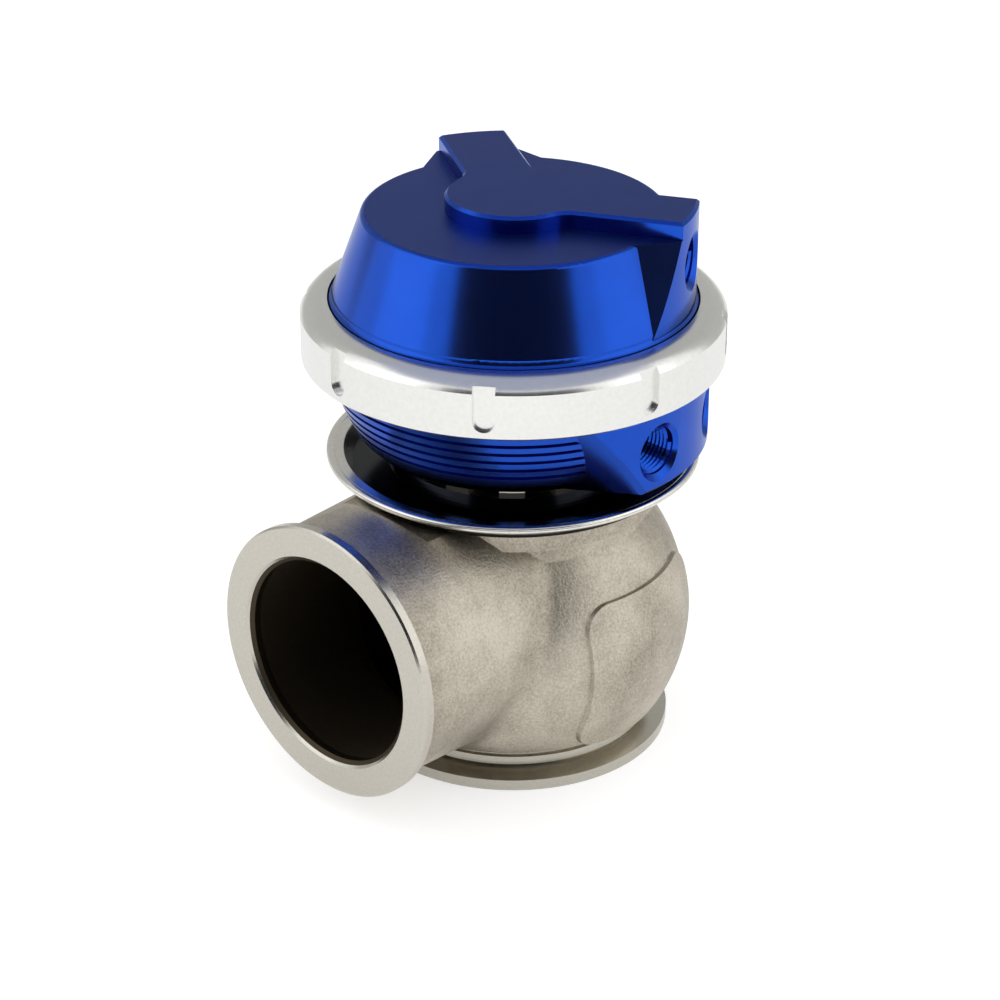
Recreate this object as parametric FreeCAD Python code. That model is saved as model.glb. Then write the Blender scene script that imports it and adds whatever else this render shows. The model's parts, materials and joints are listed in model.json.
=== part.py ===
import FreeCAD, Part
import math
import os

# External exhaust wastegate with a V-band inlet below, a V-band outlet to one side and a
# diaphragm actuator on top. Millimetres. The origin is the centre of the inlet's bottom face,
# +Z runs up the valve's axis and the outlet points along -Y.

Vector = FreeCAD.Vector
Z_AXIS = Vector(0, 0, 1)

# Casting: inlet, bulb and outlet
INLET_FLANGE_R = 32.5
INLET_RIM = 2.3
INLET_LIP = 3.9
FLANGE_TAPER_DEG = 20.0
NECK_BEAD = 0.6
NECK_BEAD_HEIGHT = 1.6
NECK_BEAD_Z = 4.5
NECK_TOP_Z = 7.75
NECK_LEDGE = 2.2
NECK_RELIEF = 3.5
BULB_R = 35.8
CASTING_WALL = 4.0
SHOULDER_DROP = 4.1
DECK_LIP = 2.5
DECK_FLANGE = 4.6
DECK_THICKNESS = 10.6
GUIDE_BOSS = 9.0
OUTLET_RISE = 7.3
OUTLET_FACE = 53.6
OUTLET_FLANGE_R = 28.2
OUTLET_RIM = 2.1
OUTLET_LIP = 1.8
OUTLET_EDGE = 0.4
OUTLET_BORE_LENGTH = 24.0
OUTLET_STEP = 0.6
OUTLET_COVER = 2.8
TUBE_WALL = 5.5
TUBE_TAPER = 2.0
TUBE_BLEND_R = 6.0
BORE_MOUTH = 1.2
PAD_WIDTH = 36.0
PAD_HEIGHT = 33.0
PAD_RISE = 0.8
PAD_CORNER_R = 6.0
PAD_ANGLE_DEG = 9.0
PAD_DROP = 2.0

# Valve seat and valve
NECK_WALL = 3.0
SEAT_WALL = 4.3
SEAT_LIP_WIDTH = 1.8
SEAT_LIP = 2.0
SEAT_FACE_Z = 7.0
SEAT_FACE = 2.1
SEAT_GAP = 0.14
VALVE_FOOT = 0.5
VALVE_EDGE = 1.2
VALVE_CROWN_R = 10.0
VALVE_CROWN = 1.8
STEM_R = 4.0
STEM_TULIP = 7.0
STEM_SHOULDER = 1.0
STEM_TIP = 1.0
STEM_CHAMFER = 0.5

# Stem guide and seals
BUSH_WALL = 3.0
BUSH_BELOW_BOSS = 1.5
SEAL_LIP = 2.0
SEAL_HEIGHT = 3.0
RETAINER = 1.0
RETAINER_GAP = 0.6
STEM_ROOM = 2.0
ACTUATOR_SEAL_WIDTH = 4.0
ACTUATOR_SEAL_HEIGHT = 2.6

# Heat shield, insulating gasket and standoff ring
SHIELD_R = 37.55
SHIELD_RIM = 3.45
SHIELD_SLOPE = 1.7
SHIELD_DEPTH = 2.8
SHIELD_SHEET = 1.0
SHIELD_SEAT_GAP = 0.4
SHIELD_PAD_LIP = 2.4
GASKET = 3.0
GASKET_INSET = 1.4
STANDOFF_R = 21.6
STANDOFF_WIDTH = 10.1
STANDOFF_RING = 2.8
LUG_COUNT = 12
LUG_WIDTH = 5.0
LUG_HEIGHT = 1.6
LUG_DEPTH = 4.0
LUG_ANGLE_DEG = -47.3

# Mounting screws
SCREW_COUNT = 6
SCREW_R = 2.5
SCREW_HEAD_LIP = 1.75
SCREW_HEAD = 5.0
SCREW_SOCKET = 4.0
SCREW_SOCKET_DEPTH = 2.6
SCREW_ENGAGEMENT = 8.6
SCREW_COVER = 1.7

# Cap
CAP_BASE_R = 36.2
CAP_HEIGHT = 17.7
CAP_TAPER = 6.6
CAP_FLARE = 0.7
CAP_EDGE_ROUND = 1.2
CAP_FLANGE_LIP = 2.2
CAP_FLANGE = 2.0
CAP_WALL = 5.2
CAP_TOP_WALL = 4.1
CAP_ROOF = 4.0
CAP_SKIRT = 2.4
ARM_HEIGHT = 3.4
ARM_HALF = 7.0
ARM_END_INSET = 0.5
ARM_ANGLES_DEG = (27.3, 147.3)
ARM_ROOT_SPREAD = 3.4
ARM_FOOT_SPREAD = 8.0
ARM_FOOT_RISE = 2.6
ARM_BLEND_R = 5.0
HUB_R = 13.5
TOP_BEVEL = 0.6
CAP_PORT_DROP = 6.7

# Lower housing
HOUSING_FLOOR = 4.5
HOUSING_WALL = 4.7
HOUSING_FOOT_WALL = 6.7
BOWL_FOOT_BEVEL = 1.9
BOWL_HEIGHT = 15.0
BOWL_TAPER = 6.0
BOWL_BULGE = 0.46
FIN_GROOVES = 5
FIN_PITCH = 2.05
FIN_FIRST = 2.6
FIN_GROOVE = 0.8
FIN_DEPTH = 1.4
THREAD_LIP = 1.2
THREAD_STEP = 1.9
THREAD_LENGTH = 6.1
CAVITY_SHOULDER = 2.9
SPLIT_GAP = 0.3

# Port block and pressure ports
PORT_BLOCK_RISE = 1.3
PORT_BLOCK_WIDTH = 11.0
PORT_BLOCK_FOOT = 1.0
PORT_BLOCK_TOP_GAP = 0.5
PORT_BLOCK_ANGLE_DEG = 16.0
PORT_BLOCK_TOP_HALF_DEG = 41.8
PORT_BLOCK_FOOT_HALF_DEG = 20.9
PORT_BLOCK_ROOT_HALF_DEG = 38.0
PORT_BLOCK_EDGE = 1.0
PORT_SPACING_DEG = 33.0
PORT_RISE = 7.2
PORT_R = 4.85
PORT_MOUTH = 1.15
PORT_DEPTH = 8.8
PORT_DRILL_R = 1.6

# Diaphragm and piston
BEAD_OFFSET = 2.4
BEAD_WIDTH = 2.4
BEAD_HEIGHT = 1.9
DIAPHRAGM = 0.8
DIAPHRAGM_WALL_GAP = 1.0
CLAMP_RISE = 6.7
CLAMP_INSET = 4.0
CLAMP = 2.0
CLAMP_BEVEL = 1.0
ROLL_WIDTH = 9.0
PISTON_BASE = 3.0
PISTON_WALL = 2.0
PISTON_HEIGHT = 7.0
WASHER = 1.2
WASHER_R = 7.4
NUT_HEIGHT = 4.0
NUT_FLATS = 10.0

# Springs
SPRING_SEAT = 1.0
SPRING_SEAT_LIP = 1.4
SPRING_CUP_GAP = 0.9
SPRING_NEST_GAP = 1.85
SPRING_STEPS = 12
SPRING_SIDES = 8
SPRINGS = {
    "outer_spring": {"wire_r": 1.5, "turns": 4.0},
    "middle_spring": {"wire_r": 1.25, "turns": 5.0},
    "inner_spring": {"wire_r": 1.05, "turns": 6.0},
}

# Collar and slip ring
COLLAR_WALL = 2.1
COLLAR_LIP = 2.75
COLLAR_SHOULDER = 2.7
COLLAR_BULGE = 0.16
COLLAR_LIP_GAP = 0.4
COLLAR_OVERHANG = 0.24
COLLAR_RELIEF = 0.4
COLLAR_EDGE = 0.4
TOOL_SLOTS = 8
TOOL_SLOT_ANGLE_DEG = -54.4
TOOL_SLOT = 4.3
TOOL_SLOT_DEPTH = 1.0
TOOL_SLOT_RISE = 1.54
SLIP_RING = 0.45
SLIP_RING_WIDTH = 1.7

# Clearances
RUNNING_CLEARANCE = 0.05
LOCATING_CLEARANCE = 0.05
SCREW_CLEARANCE = 0.3
THREAD_CLEARANCE = 0.3
FACE_CLEARANCE = 0.05
SHIELD_CLEARANCE = 0.6


def sphere_side(radius, distance):
    """Other side of the right triangle inside a sphere: the radius at a height, or the height."""
    return math.sqrt(radius ** 2 - distance ** 2)


# Radii of the casting, the seat and the stem's parts
NECK_R = INLET_FLANGE_R - INLET_LIP
BULB_Z = NECK_TOP_Z + sphere_side(BULB_R, NECK_R + NECK_LEDGE)
CHAMBER_R = BULB_R - CASTING_WALL
SEAT_R = NECK_R - NECK_WALL
THROAT_R = SEAT_R - SEAT_WALL
SEAT_LIP_R = SEAT_R + SEAT_LIP_WIDTH
TUBE_R = OUTLET_FLANGE_R - OUTLET_LIP
TUBE_ROOT_R = TUBE_R + TUBE_TAPER
OUTLET_BORE_R = TUBE_R - TUBE_WALL
OUTLET_PASSAGE_R = OUTLET_BORE_R + OUTLET_STEP
BUSH_R = STEM_R + BUSH_WALL
GUIDE_BOSS_R = BUSH_R + SEAL_LIP
SEAL_R = BUSH_R + SEAL_LIP
STEM_NECK_R = STEM_R - STEM_SHOULDER
STEM_HOLE_R = STEM_R + STEM_ROOM
STANDOFF_BORE_R = STANDOFF_R - STANDOFF_WIDTH
SCREW_CIRCLE_R = (STANDOFF_R + STANDOFF_BORE_R) / 2
SCREW_ANGLE_DEG = LUG_ANGLE_DEG + 180.0 / LUG_COUNT
OUTLET_PASSAGE_START = SCREW_CIRCLE_R + SCREW_R + SCREW_COVER
SHIELD_PAD_R = STANDOFF_R + SHIELD_PAD_LIP
SHIELD_RIM_INNER_R = SHIELD_R - SHIELD_RIM
SHIELD_FLOOR_R = SHIELD_RIM_INNER_R - SHIELD_SLOPE

# Radii of the actuator, from the cap outwards and inwards
CAP_FLANGE_R = CAP_BASE_R + CAP_FLANGE_LIP
THREAD_R = CAP_FLANGE_R + THREAD_LIP
COLLAR_BORE_R = THREAD_R + THREAD_CLEARANCE
COLLAR_R = COLLAR_BORE_R + COLLAR_WALL
COLLAR_LIP_R = CAP_BASE_R + COLLAR_LIP_GAP
BOWL_TOP_R = THREAD_R - THREAD_STEP
BOWL_FOOT_R = BOWL_TOP_R - BOWL_TAPER
CAVITY_R = BOWL_TOP_R - HOUSING_WALL
CAVITY_FLOOR_R = BOWL_FOOT_R - HOUSING_FOOT_WALL
PORT_BLOCK_R = BOWL_TOP_R + PORT_BLOCK_RISE
BEAD_R = CAVITY_R + BEAD_OFFSET
PISTON_R = CAVITY_R - ROLL_WIDTH
PISTON_CUP_R = PISTON_R - PISTON_WALL
CAP_FACE_R = CAP_BASE_R - CAP_TAPER
CAP_CAVITY_R = CAP_BASE_R - CAP_WALL
CAP_CAVITY_TOP_R = CAP_FACE_R - CAP_TOP_WALL
ARM_END_R = CAP_BASE_R - ARM_END_INSET

# Heights, stacked from the inlet's face upwards
SEAT_TOP_Z = SEAT_FACE_Z + SEAT_FACE
OUTLET_Z = BULB_Z + OUTLET_RISE
DECK_Z = OUTLET_Z + OUTLET_PASSAGE_R + OUTLET_COVER
ROOF_Z = DECK_Z - DECK_THICKNESS
GUIDE_BOSS_Z = ROOF_Z - GUIDE_BOSS
SHOULDER_Z = DECK_Z - DECK_FLANGE - SHOULDER_DROP
SHOULDER_R = sphere_side(BULB_R, SHOULDER_Z - BULB_Z)
DECK_R = SHOULDER_R + DECK_LIP
SCREW_TIP_Z = DECK_Z - SCREW_ENGAGEMENT
SEAL_Z = DECK_Z - RETAINER - SEAL_HEIGHT
SHIELD_FLOOR_Z = DECK_Z + SHIELD_SEAT_GAP + SHIELD_SHEET
SHIELD_Z = SHIELD_FLOOR_Z + SHIELD_DEPTH
GASKET_TOP_Z = DECK_Z + GASKET
SHIELD_PAD_Z = GASKET_TOP_Z + SHIELD_SHEET
LUG_TOP_Z = SHIELD_PAD_Z + LUG_HEIGHT
HOUSING_BOTTOM_Z = LUG_TOP_Z + STANDOFF_RING
FLOOR_Z = HOUSING_BOTTOM_Z + HOUSING_FLOOR
BOWL_FOOT_Z = HOUSING_BOTTOM_Z + BOWL_FOOT_BEVEL
THREAD_BOTTOM_Z = BOWL_FOOT_Z + BOWL_HEIGHT
SPLIT_Z = THREAD_BOTTOM_Z + THREAD_LENGTH
CLAMP_Z = FLOOR_Z + CLAMP_RISE
DIAPHRAGM_Z = CLAMP_Z + CLAMP
PISTON_Z = DIAPHRAGM_Z + DIAPHRAGM + 2 * FACE_CLEARANCE
PISTON_TOP_Z = PISTON_Z + PISTON_BASE
NUT_Z = PISTON_TOP_Z + WASHER
CAP_BOTTOM_Z = SPLIT_Z + SPLIT_GAP
CAP_FLANGE_TOP_Z = CAP_BOTTOM_Z + CAP_FLANGE
COLLAR_BOTTOM_Z = THREAD_BOTTOM_Z - COLLAR_OVERHANG
COLLAR_LIP_Z = CAP_FLANGE_TOP_Z + SLIP_RING + 2 * FACE_CLEARANCE
COLLAR_TOP_Z = COLLAR_LIP_Z + COLLAR_LIP
COLLAR_SHOULDER_Z = COLLAR_TOP_Z - COLLAR_SHOULDER
CAP_BASE_Z = COLLAR_TOP_Z
CAP_FACE_Z = CAP_BASE_Z + CAP_HEIGHT
CAP_CEILING_Z = CAP_FACE_Z - CAP_ROOF
CAP_TOP_Z = CAP_FACE_Z + ARM_HEIGHT
SPRING_TOP_Z = CAP_CEILING_Z - SPRING_SEAT
REACH = 2 * CAP_TOP_Z


def polar(radius, degrees, z=0.0):
    """Point at a radius and an angle about the valve's axis."""
    angle = math.radians(degrees)
    return Vector(radius * math.cos(angle), radius * math.sin(angle), z)


def revolve(outline):
    """Solid of revolution about Z from (r, z) corners.

    An item that holds two corners is an arc: it passes through the first and ends at the second.
    """
    start = Vector(outline[0][0], 0, outline[0][1])
    here = start
    edges = []
    for item in outline[1:]:
        if isinstance(item[0], tuple):
            middle = Vector(item[0][0], 0, item[0][1])
            end = Vector(item[1][0], 0, item[1][1])
            edges.append(Part.Arc(here, middle, end).toShape())
        else:
            end = Vector(item[0], 0, item[1])
            edges.append(Part.LineSegment(here, end).toShape())
        here = end
    edges.append(Part.LineSegment(here, start).toShape())
    face = Part.Face(Part.Wire(edges))
    return face.revolve(Vector(0, 0, 0), Z_AXIS, 360)


def disc(radius, bottom_z, top_z):
    """Plain cylinder on the valve's axis."""
    return Part.makeCylinder(radius, top_z - bottom_z, Vector(0, 0, bottom_z))


def ring(outer_r, inner_r, bottom_z, top_z):
    """Plain ring on the valve's axis."""
    return disc(outer_r, bottom_z, top_z).cut(disc(inner_r, bottom_z - 1, top_z + 1))


def arc_middle(centre, radius, degrees):
    """Corner on a circle in an outline, at an angle from +r towards +z."""
    angle = math.radians(degrees)
    return (centre[0] + radius * math.cos(angle), centre[1] + radius * math.sin(angle))


def turned(shape, degrees):
    """Copy of a shape turned about the valve's axis."""
    copy = shape.copy()
    copy.rotate(Vector(0, 0, 0), Z_AXIS, degrees)
    return copy


def around(shape, count, first_deg):
    """Equal copies of a shape, spaced evenly round the valve's axis."""
    return [turned(shape, first_deg + index * 360.0 / count) for index in range(count)]


def radial_cylinder(radius, inner_r, outer_r, degrees, z):
    """Cylinder that lies along a radius of the valve's axis."""
    return Part.makeCylinder(radius, outer_r - inner_r, polar(inner_r, degrees, z), polar(1, degrees))


def beyond_plane(first, second, third, inside):
    """Large block on the far side of the plane through three points, away from a point inside."""
    normal = (second - first).cross(third - first)
    normal.normalize()
    if normal.dot(inside - first) > 0:
        normal = normal * -1
    block = Part.makeBox(2 * REACH, 2 * REACH, REACH, Vector(-REACH, -REACH, 0))
    block.Placement = FreeCAD.Placement(first, FreeCAD.Rotation(Z_AXIS, normal))
    return block


def along_outlet(shape):
    """Shape drawn along +Z, laid along the outlet's axis."""
    laid = shape.copy()
    laid.rotate(Vector(0, 0, 0), Vector(1, 0, 0), 90)
    laid.translate(Vector(0, 0, OUTLET_Z))
    return laid


def taper_rise(width):
    """Height that a V-band flange's back face rises over a radial width."""
    return width * math.tan(math.radians(FLANGE_TAPER_DEG))


def rounded_prism(width, height, corner_r, length):
    """Prism along +X with a rounded rectangle of a width along Y and a height along Z as its section."""
    block = Part.makeBox(length, width, height, Vector(0, -width / 2, -height / 2))
    long_edges = [edge for edge in block.Edges if abs(edge.tangentAt(0).x) > 0.99]
    return block.makeFillet(corner_r, long_edges)


def blended_bulb():
    """Ball of the casting joined to the outlet tube with a wide cast fillet."""
    ball = Part.makeSphere(BULB_R, Vector(0, 0, BULB_Z))
    tube_end = OUTLET_FACE - OUTLET_RIM - taper_rise(OUTLET_LIP)
    tube = along_outlet(revolve([(0, 0), (TUBE_ROOT_R, 0), (TUBE_R, tube_end), (0, tube_end)]))
    joined = ball.fuse(tube)
    round_faces = (Part.Sphere, Part.Cone)
    seams = []
    for edge in joined.Edges:
        faces = joined.ancestorsOfType(edge, Part.Face)
        kinds = {type(face.Surface) for face in faces}
        if kinds == set(round_faces):
            seams.append(edge)
    return joined.makeFillet(TUBE_BLEND_R, seams)


def casting_skin():
    """Outside of the casting: inlet flange, bulb, top flange, outlet tube, outlet flange and pad."""
    inlet_back_z = INLET_RIM + taper_rise(INLET_LIP)
    bead_top_z = NECK_BEAD_Z + NECK_BEAD_HEIGHT
    neck = revolve([
        (0, 0), (INLET_FLANGE_R, 0), (INLET_FLANGE_R, INLET_RIM), (NECK_R, inlet_back_z),
        (NECK_R, NECK_BEAD_Z), (NECK_R + NECK_BEAD, NECK_BEAD_Z),
        (NECK_R + NECK_BEAD, bead_top_z - NECK_BEAD / 2), (NECK_R, bead_top_z),
        (NECK_R, NECK_TOP_Z), (0, NECK_TOP_Z),
    ])
    turned_away = disc(INLET_FLANGE_R + NECK_RELIEF, -REACH, NECK_TOP_Z)
    deck_foot_z = DECK_Z - DECK_FLANGE
    deck = revolve([
        (0, BULB_Z), (SHOULDER_R, BULB_Z), (SHOULDER_R, deck_foot_z), (DECK_R, deck_foot_z),
        (DECK_R, DECK_Z), (0, DECK_Z),
    ])
    flange_back = OUTLET_FACE - OUTLET_RIM
    tube_end = flange_back - taper_rise(OUTLET_LIP)
    flange = along_outlet(revolve([
        (0, tube_end), (TUBE_R, tube_end), (OUTLET_FLANGE_R, flange_back),
        (OUTLET_FLANGE_R, OUTLET_FACE - OUTLET_EDGE), (OUTLET_FLANGE_R - OUTLET_EDGE, OUTLET_FACE),
        (0, OUTLET_FACE),
    ]))
    pad = rounded_prism(PAD_WIDTH, PAD_HEIGHT, PAD_CORNER_R, REACH)
    pad.translate(Vector(0, 0, BULB_Z - PAD_DROP))
    pad = turned(pad, PAD_ANGLE_DEG).common(Part.makeSphere(BULB_R + PAD_RISE, Vector(0, 0, BULB_Z)))
    shield_room = disc(SHIELD_R + SHIELD_CLEARANCE, DECK_Z, DECK_Z + REACH)
    body = blended_bulb().cut(turned_away).fuse([neck, deck, flange, pad])
    return body.cut(shield_room)


def casting_passages():
    """Inside of the casting: seat pocket, chamber, outlet passage and stem guide holes."""
    pocket_r = SEAT_R + LOCATING_CLEARANCE
    chamber_z = BULB_Z - sphere_side(CHAMBER_R, pocket_r)
    roof_r = sphere_side(CHAMBER_R, ROOF_Z - BULB_Z)
    chamber = revolve([
        (0, chamber_z), (pocket_r, chamber_z), ((CHAMBER_R, BULB_Z), (roof_r, ROOF_Z)), (0, ROOF_Z),
    ])
    chamber = chamber.cut(disc(GUIDE_BOSS_R, GUIDE_BOSS_Z, DECK_Z))
    pocket = disc(pocket_r, -REACH, chamber_z)
    lip_pocket = disc(SEAT_LIP_R + LOCATING_CLEARANCE, -REACH, SEAT_LIP + LOCATING_CLEARANCE)
    bore_start = OUTLET_FACE - OUTLET_BORE_LENGTH
    mouth_r = OUTLET_BORE_R + BORE_MOUTH
    passage = along_outlet(revolve([
        (0, OUTLET_PASSAGE_START), (OUTLET_PASSAGE_R, OUTLET_PASSAGE_START),
        (OUTLET_PASSAGE_R, bore_start), (OUTLET_BORE_R, bore_start),
        (OUTLET_BORE_R, OUTLET_FACE - BORE_MOUTH), (mouth_r, OUTLET_FACE),
        (mouth_r, OUTLET_FACE + REACH), (0, OUTLET_FACE + REACH),
    ]))
    bush_hole = disc(BUSH_R + LOCATING_CLEARANCE, BULB_Z, DECK_Z)
    seal_hole = disc(SEAL_R + LOCATING_CLEARANCE, SEAL_Z, DECK_Z + REACH)
    screws = screw_holes(SCREW_TIP_Z - LOCATING_CLEARANCE, DECK_Z + REACH, LOCATING_CLEARANCE)
    return chamber.fuse([pocket, lip_pocket, passage, bush_hole, seal_hole] + screws)


def valve_body():
    """One-piece casting with both V-band flanges."""
    return casting_skin().cut(casting_passages())


def screw_holes(bottom_z, top_z, clearance):
    """Ring of holes for the mounting screws."""
    hole = Part.makeCylinder(SCREW_R + clearance, top_z - bottom_z, Vector(SCREW_CIRCLE_R, 0, bottom_z))
    return around(hole, SCREW_COUNT, SCREW_ANGLE_DEG)


def valve_seat():
    """Seat ring that drops into the inlet, flush with the flange's face."""
    return revolve([
        (THROAT_R, 0), (SEAT_LIP_R, 0), (SEAT_LIP_R, SEAT_LIP), (SEAT_R, SEAT_LIP),
        (SEAT_R, SEAT_TOP_Z), (THROAT_R + SEAT_FACE, SEAT_TOP_Z), (THROAT_R, SEAT_FACE_Z),
    ])


def valve():
    """Poppet with a 45 degree face, a tulip neck and a stem that carries the piston."""
    bottom_z = SEAT_FACE_Z + VALVE_FOOT
    bottom_r = THROAT_R + VALVE_FOOT - SEAT_GAP
    edge_r = THROAT_R + SEAT_FACE - SEAT_GAP
    edge_top_z = SEAT_TOP_Z + VALVE_EDGE
    crown_z = edge_top_z + VALVE_CROWN
    half_turn = math.sqrt(0.5)
    middle = (VALVE_CROWN_R - half_turn * (VALVE_CROWN_R - STEM_R),
              crown_z + STEM_TULIP - half_turn * STEM_TULIP)
    tip_z = NUT_Z + NUT_HEIGHT + STEM_TIP
    return revolve([
        (0, bottom_z), (bottom_r, bottom_z), (edge_r, SEAT_TOP_Z), (edge_r, edge_top_z),
        (VALVE_CROWN_R, crown_z), (middle, (STEM_R, crown_z + STEM_TULIP)),
        (STEM_R, CLAMP_Z), (STEM_NECK_R, CLAMP_Z), (STEM_NECK_R, tip_z - STEM_CHAMFER),
        (STEM_NECK_R - STEM_CHAMFER, tip_z), (0, tip_z),
    ])


def guide_bush():
    """Bronze bush that guides the stem."""
    bore = STEM_R + RUNNING_CLEARANCE
    return ring(BUSH_R, bore, GUIDE_BOSS_Z - BUSH_BELOW_BOSS, SEAL_Z)


def stem_seal():
    """Ring that wipes the stem above the bush."""
    return ring(SEAL_R, STEM_R + RUNNING_CLEARANCE, SEAL_Z, SEAL_Z + SEAL_HEIGHT)


def seal_retainer():
    """Washer that keeps the stem seal down."""
    return ring(SEAL_R, STEM_R + RETAINER_GAP, SEAL_Z + SEAL_HEIGHT, DECK_Z)


def shield_gasket():
    """Insulating gasket under the heat shield's raised pad."""
    body = ring(SHIELD_PAD_R - GASKET_INSET, STEM_HOLE_R, DECK_Z, GASKET_TOP_Z)
    return body.cut(screw_holes(ROOF_Z, HOUSING_BOTTOM_Z, SCREW_CLEARANCE))


def heat_shield():
    """Pressed dish with a flat rim and a raised pad in the middle."""
    sheet = SHIELD_SHEET
    body = revolve([
        (STEM_HOLE_R, SHIELD_PAD_Z - sheet), (SHIELD_PAD_R - sheet, SHIELD_PAD_Z - sheet),
        (SHIELD_PAD_R, SHIELD_FLOOR_Z - sheet), (SHIELD_FLOOR_R + sheet, SHIELD_FLOOR_Z - sheet),
        (SHIELD_RIM_INNER_R + sheet, SHIELD_Z - sheet), (SHIELD_R - sheet / 3, SHIELD_Z - sheet),
        (SHIELD_R, SHIELD_Z - 2 * sheet / 3), (SHIELD_R, SHIELD_Z - sheet / 3),
        (SHIELD_R - sheet / 3, SHIELD_Z),
        (SHIELD_RIM_INNER_R, SHIELD_Z), (SHIELD_FLOOR_R, SHIELD_FLOOR_Z),
        (SHIELD_PAD_R + sheet, SHIELD_FLOOR_Z), (SHIELD_PAD_R, SHIELD_PAD_Z),
        (STEM_HOLE_R, SHIELD_PAD_Z),
    ])
    return body.cut(screw_holes(ROOF_Z, HOUSING_BOTTOM_Z, SCREW_CLEARANCE))


def standoff_ring():
    """Castellated ring that holds the actuator off the heat shield."""
    top = ring(STANDOFF_R, STANDOFF_BORE_R, LUG_TOP_Z, HOUSING_BOTTOM_Z)
    lug_start = STANDOFF_R - LUG_DEPTH
    lug = Part.makeBox(2 * LUG_DEPTH, LUG_WIDTH, LUG_HEIGHT,
                       Vector(lug_start, -LUG_WIDTH / 2, SHIELD_PAD_Z))
    lug = lug.common(disc(STANDOFF_R, SHIELD_PAD_Z, LUG_TOP_Z))
    body = top.fuse(around(lug, LUG_COUNT, LUG_ANGLE_DEG))
    return body.cut(screw_holes(ROOF_Z, FLOOR_Z, SCREW_CLEARANCE))


def hexagon(flats, height, bottom):
    """Six-sided prism on the Z axis."""
    corner = flats / math.sqrt(3)
    points = [polar(corner, 60 * side, bottom) for side in range(7)]
    return Part.Face(Part.makePolygon(points)).extrude(Vector(0, 0, height))


def mounting_screws():
    """Socket-head screws that clamp housing, standoff and shield to the casting."""
    shank = disc(SCREW_R, SCREW_TIP_Z, FLOOR_Z)
    head = disc(SCREW_R + SCREW_HEAD_LIP, FLOOR_Z, FLOOR_Z + SCREW_HEAD)
    socket = hexagon(SCREW_SOCKET, 2 * SCREW_SOCKET_DEPTH, FLOOR_Z + SCREW_HEAD - SCREW_SOCKET_DEPTH)
    screw = shank.fuse(head).removeSplitter().cut(socket)
    screw.translate(Vector(SCREW_CIRCLE_R, 0, 0))
    return Part.makeCompound(around(screw, SCREW_COUNT, SCREW_ANGLE_DEG))


def bowl_radius(z):
    """Radius of the finned bowl's skin at a height, along its arc."""
    span = (z - BOWL_FOOT_Z) / BOWL_HEIGHT
    return BOWL_FOOT_R + BOWL_TAPER * span + 4 * BOWL_BULGE * span * (1 - span)


def bowl():
    """Outside of the lower housing without its port block: finned bowl and threaded rim."""
    middle_z = BOWL_FOOT_Z + BOWL_HEIGHT / 2
    skin = revolve([
        (0, HOUSING_BOTTOM_Z), (BOWL_FOOT_R - BOWL_FOOT_BEVEL, HOUSING_BOTTOM_Z),
        (BOWL_FOOT_R, BOWL_FOOT_Z), ((bowl_radius(middle_z), middle_z), (BOWL_TOP_R, THREAD_BOTTOM_Z)),
        (THREAD_R, THREAD_BOTTOM_Z), (THREAD_R, SPLIT_Z), (0, SPLIT_Z),
    ])
    grooves = []
    for index in range(FIN_GROOVES):
        z = BOWL_FOOT_Z + FIN_FIRST + index * FIN_PITCH
        inner_r = bowl_radius(z) - FIN_DEPTH
        grooves.append(ring(THREAD_R, inner_r, z - FIN_GROOVE / 2, z + FIN_GROOVE / 2))
    return skin.cut(grooves)


def port_block():
    """Solid pad that carries the two ports, with flanks that slant in towards its foot."""
    bottom_z = HOUSING_BOTTOM_Z - PORT_BLOCK_FOOT
    top_z = THREAD_BOTTOM_Z - PORT_BLOCK_TOP_GAP
    root_z = BOWL_FOOT_Z + FIN_FIRST
    inner_r = PORT_BLOCK_R - PORT_BLOCK_WIDTH
    block = disc(PORT_BLOCK_R, bottom_z, top_z)
    block = block.makeChamfer(PORT_BLOCK_EDGE, [lowest_round_edge(block)])
    block = block.cut(disc(inner_r, bottom_z, HOUSING_BOTTOM_Z))
    near_side = Part.makeBox(REACH, 2 * REACH, REACH, Vector(inner_r / 2, -REACH, 0))
    block = block.common(turned(near_side, PORT_BLOCK_ANGLE_DEG))
    inside = polar(PORT_BLOCK_R, PORT_BLOCK_ANGLE_DEG, top_z)
    for side in (-1, 1):
        top = PORT_BLOCK_ANGLE_DEG + side * PORT_BLOCK_TOP_HALF_DEG
        foot = PORT_BLOCK_ANGLE_DEG + side * PORT_BLOCK_FOOT_HALF_DEG
        root = PORT_BLOCK_ANGLE_DEG + side * PORT_BLOCK_ROOT_HALF_DEG
        flank = beyond_plane(polar(PORT_BLOCK_R, top, top_z), polar(PORT_BLOCK_R, foot, bottom_z),
                             polar(bowl_radius(root_z), root, root_z), inside)
        block = block.cut(flank)
    return block


def lowest_round_edge(shape):
    """Circular edge of a cylinder's bottom face."""
    circles = [edge for edge in shape.Edges if isinstance(edge.Curve, Part.Circle)]
    return min(circles, key=lambda edge: edge.BoundBox.ZMin)


def pressure_port(mouth_r, depth, cavity_r, degrees, z):
    """Tapped port with a countersunk mouth and a drilling through to the chamber."""
    bottom_r = mouth_r - depth
    bore = radial_cylinder(PORT_R, bottom_r, mouth_r + PORT_R, degrees, z)
    drill = radial_cylinder(PORT_DRILL_R, cavity_r - PORT_R, bottom_r + PORT_MOUTH, degrees, z)
    flare = PORT_MOUTH + PORT_R / 2
    mouth = Part.makeCone(PORT_R, PORT_R + flare, flare, polar(mouth_r - PORT_MOUTH, degrees, z),
                          polar(1, degrees))
    return bore.fuse([drill, mouth])


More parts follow.
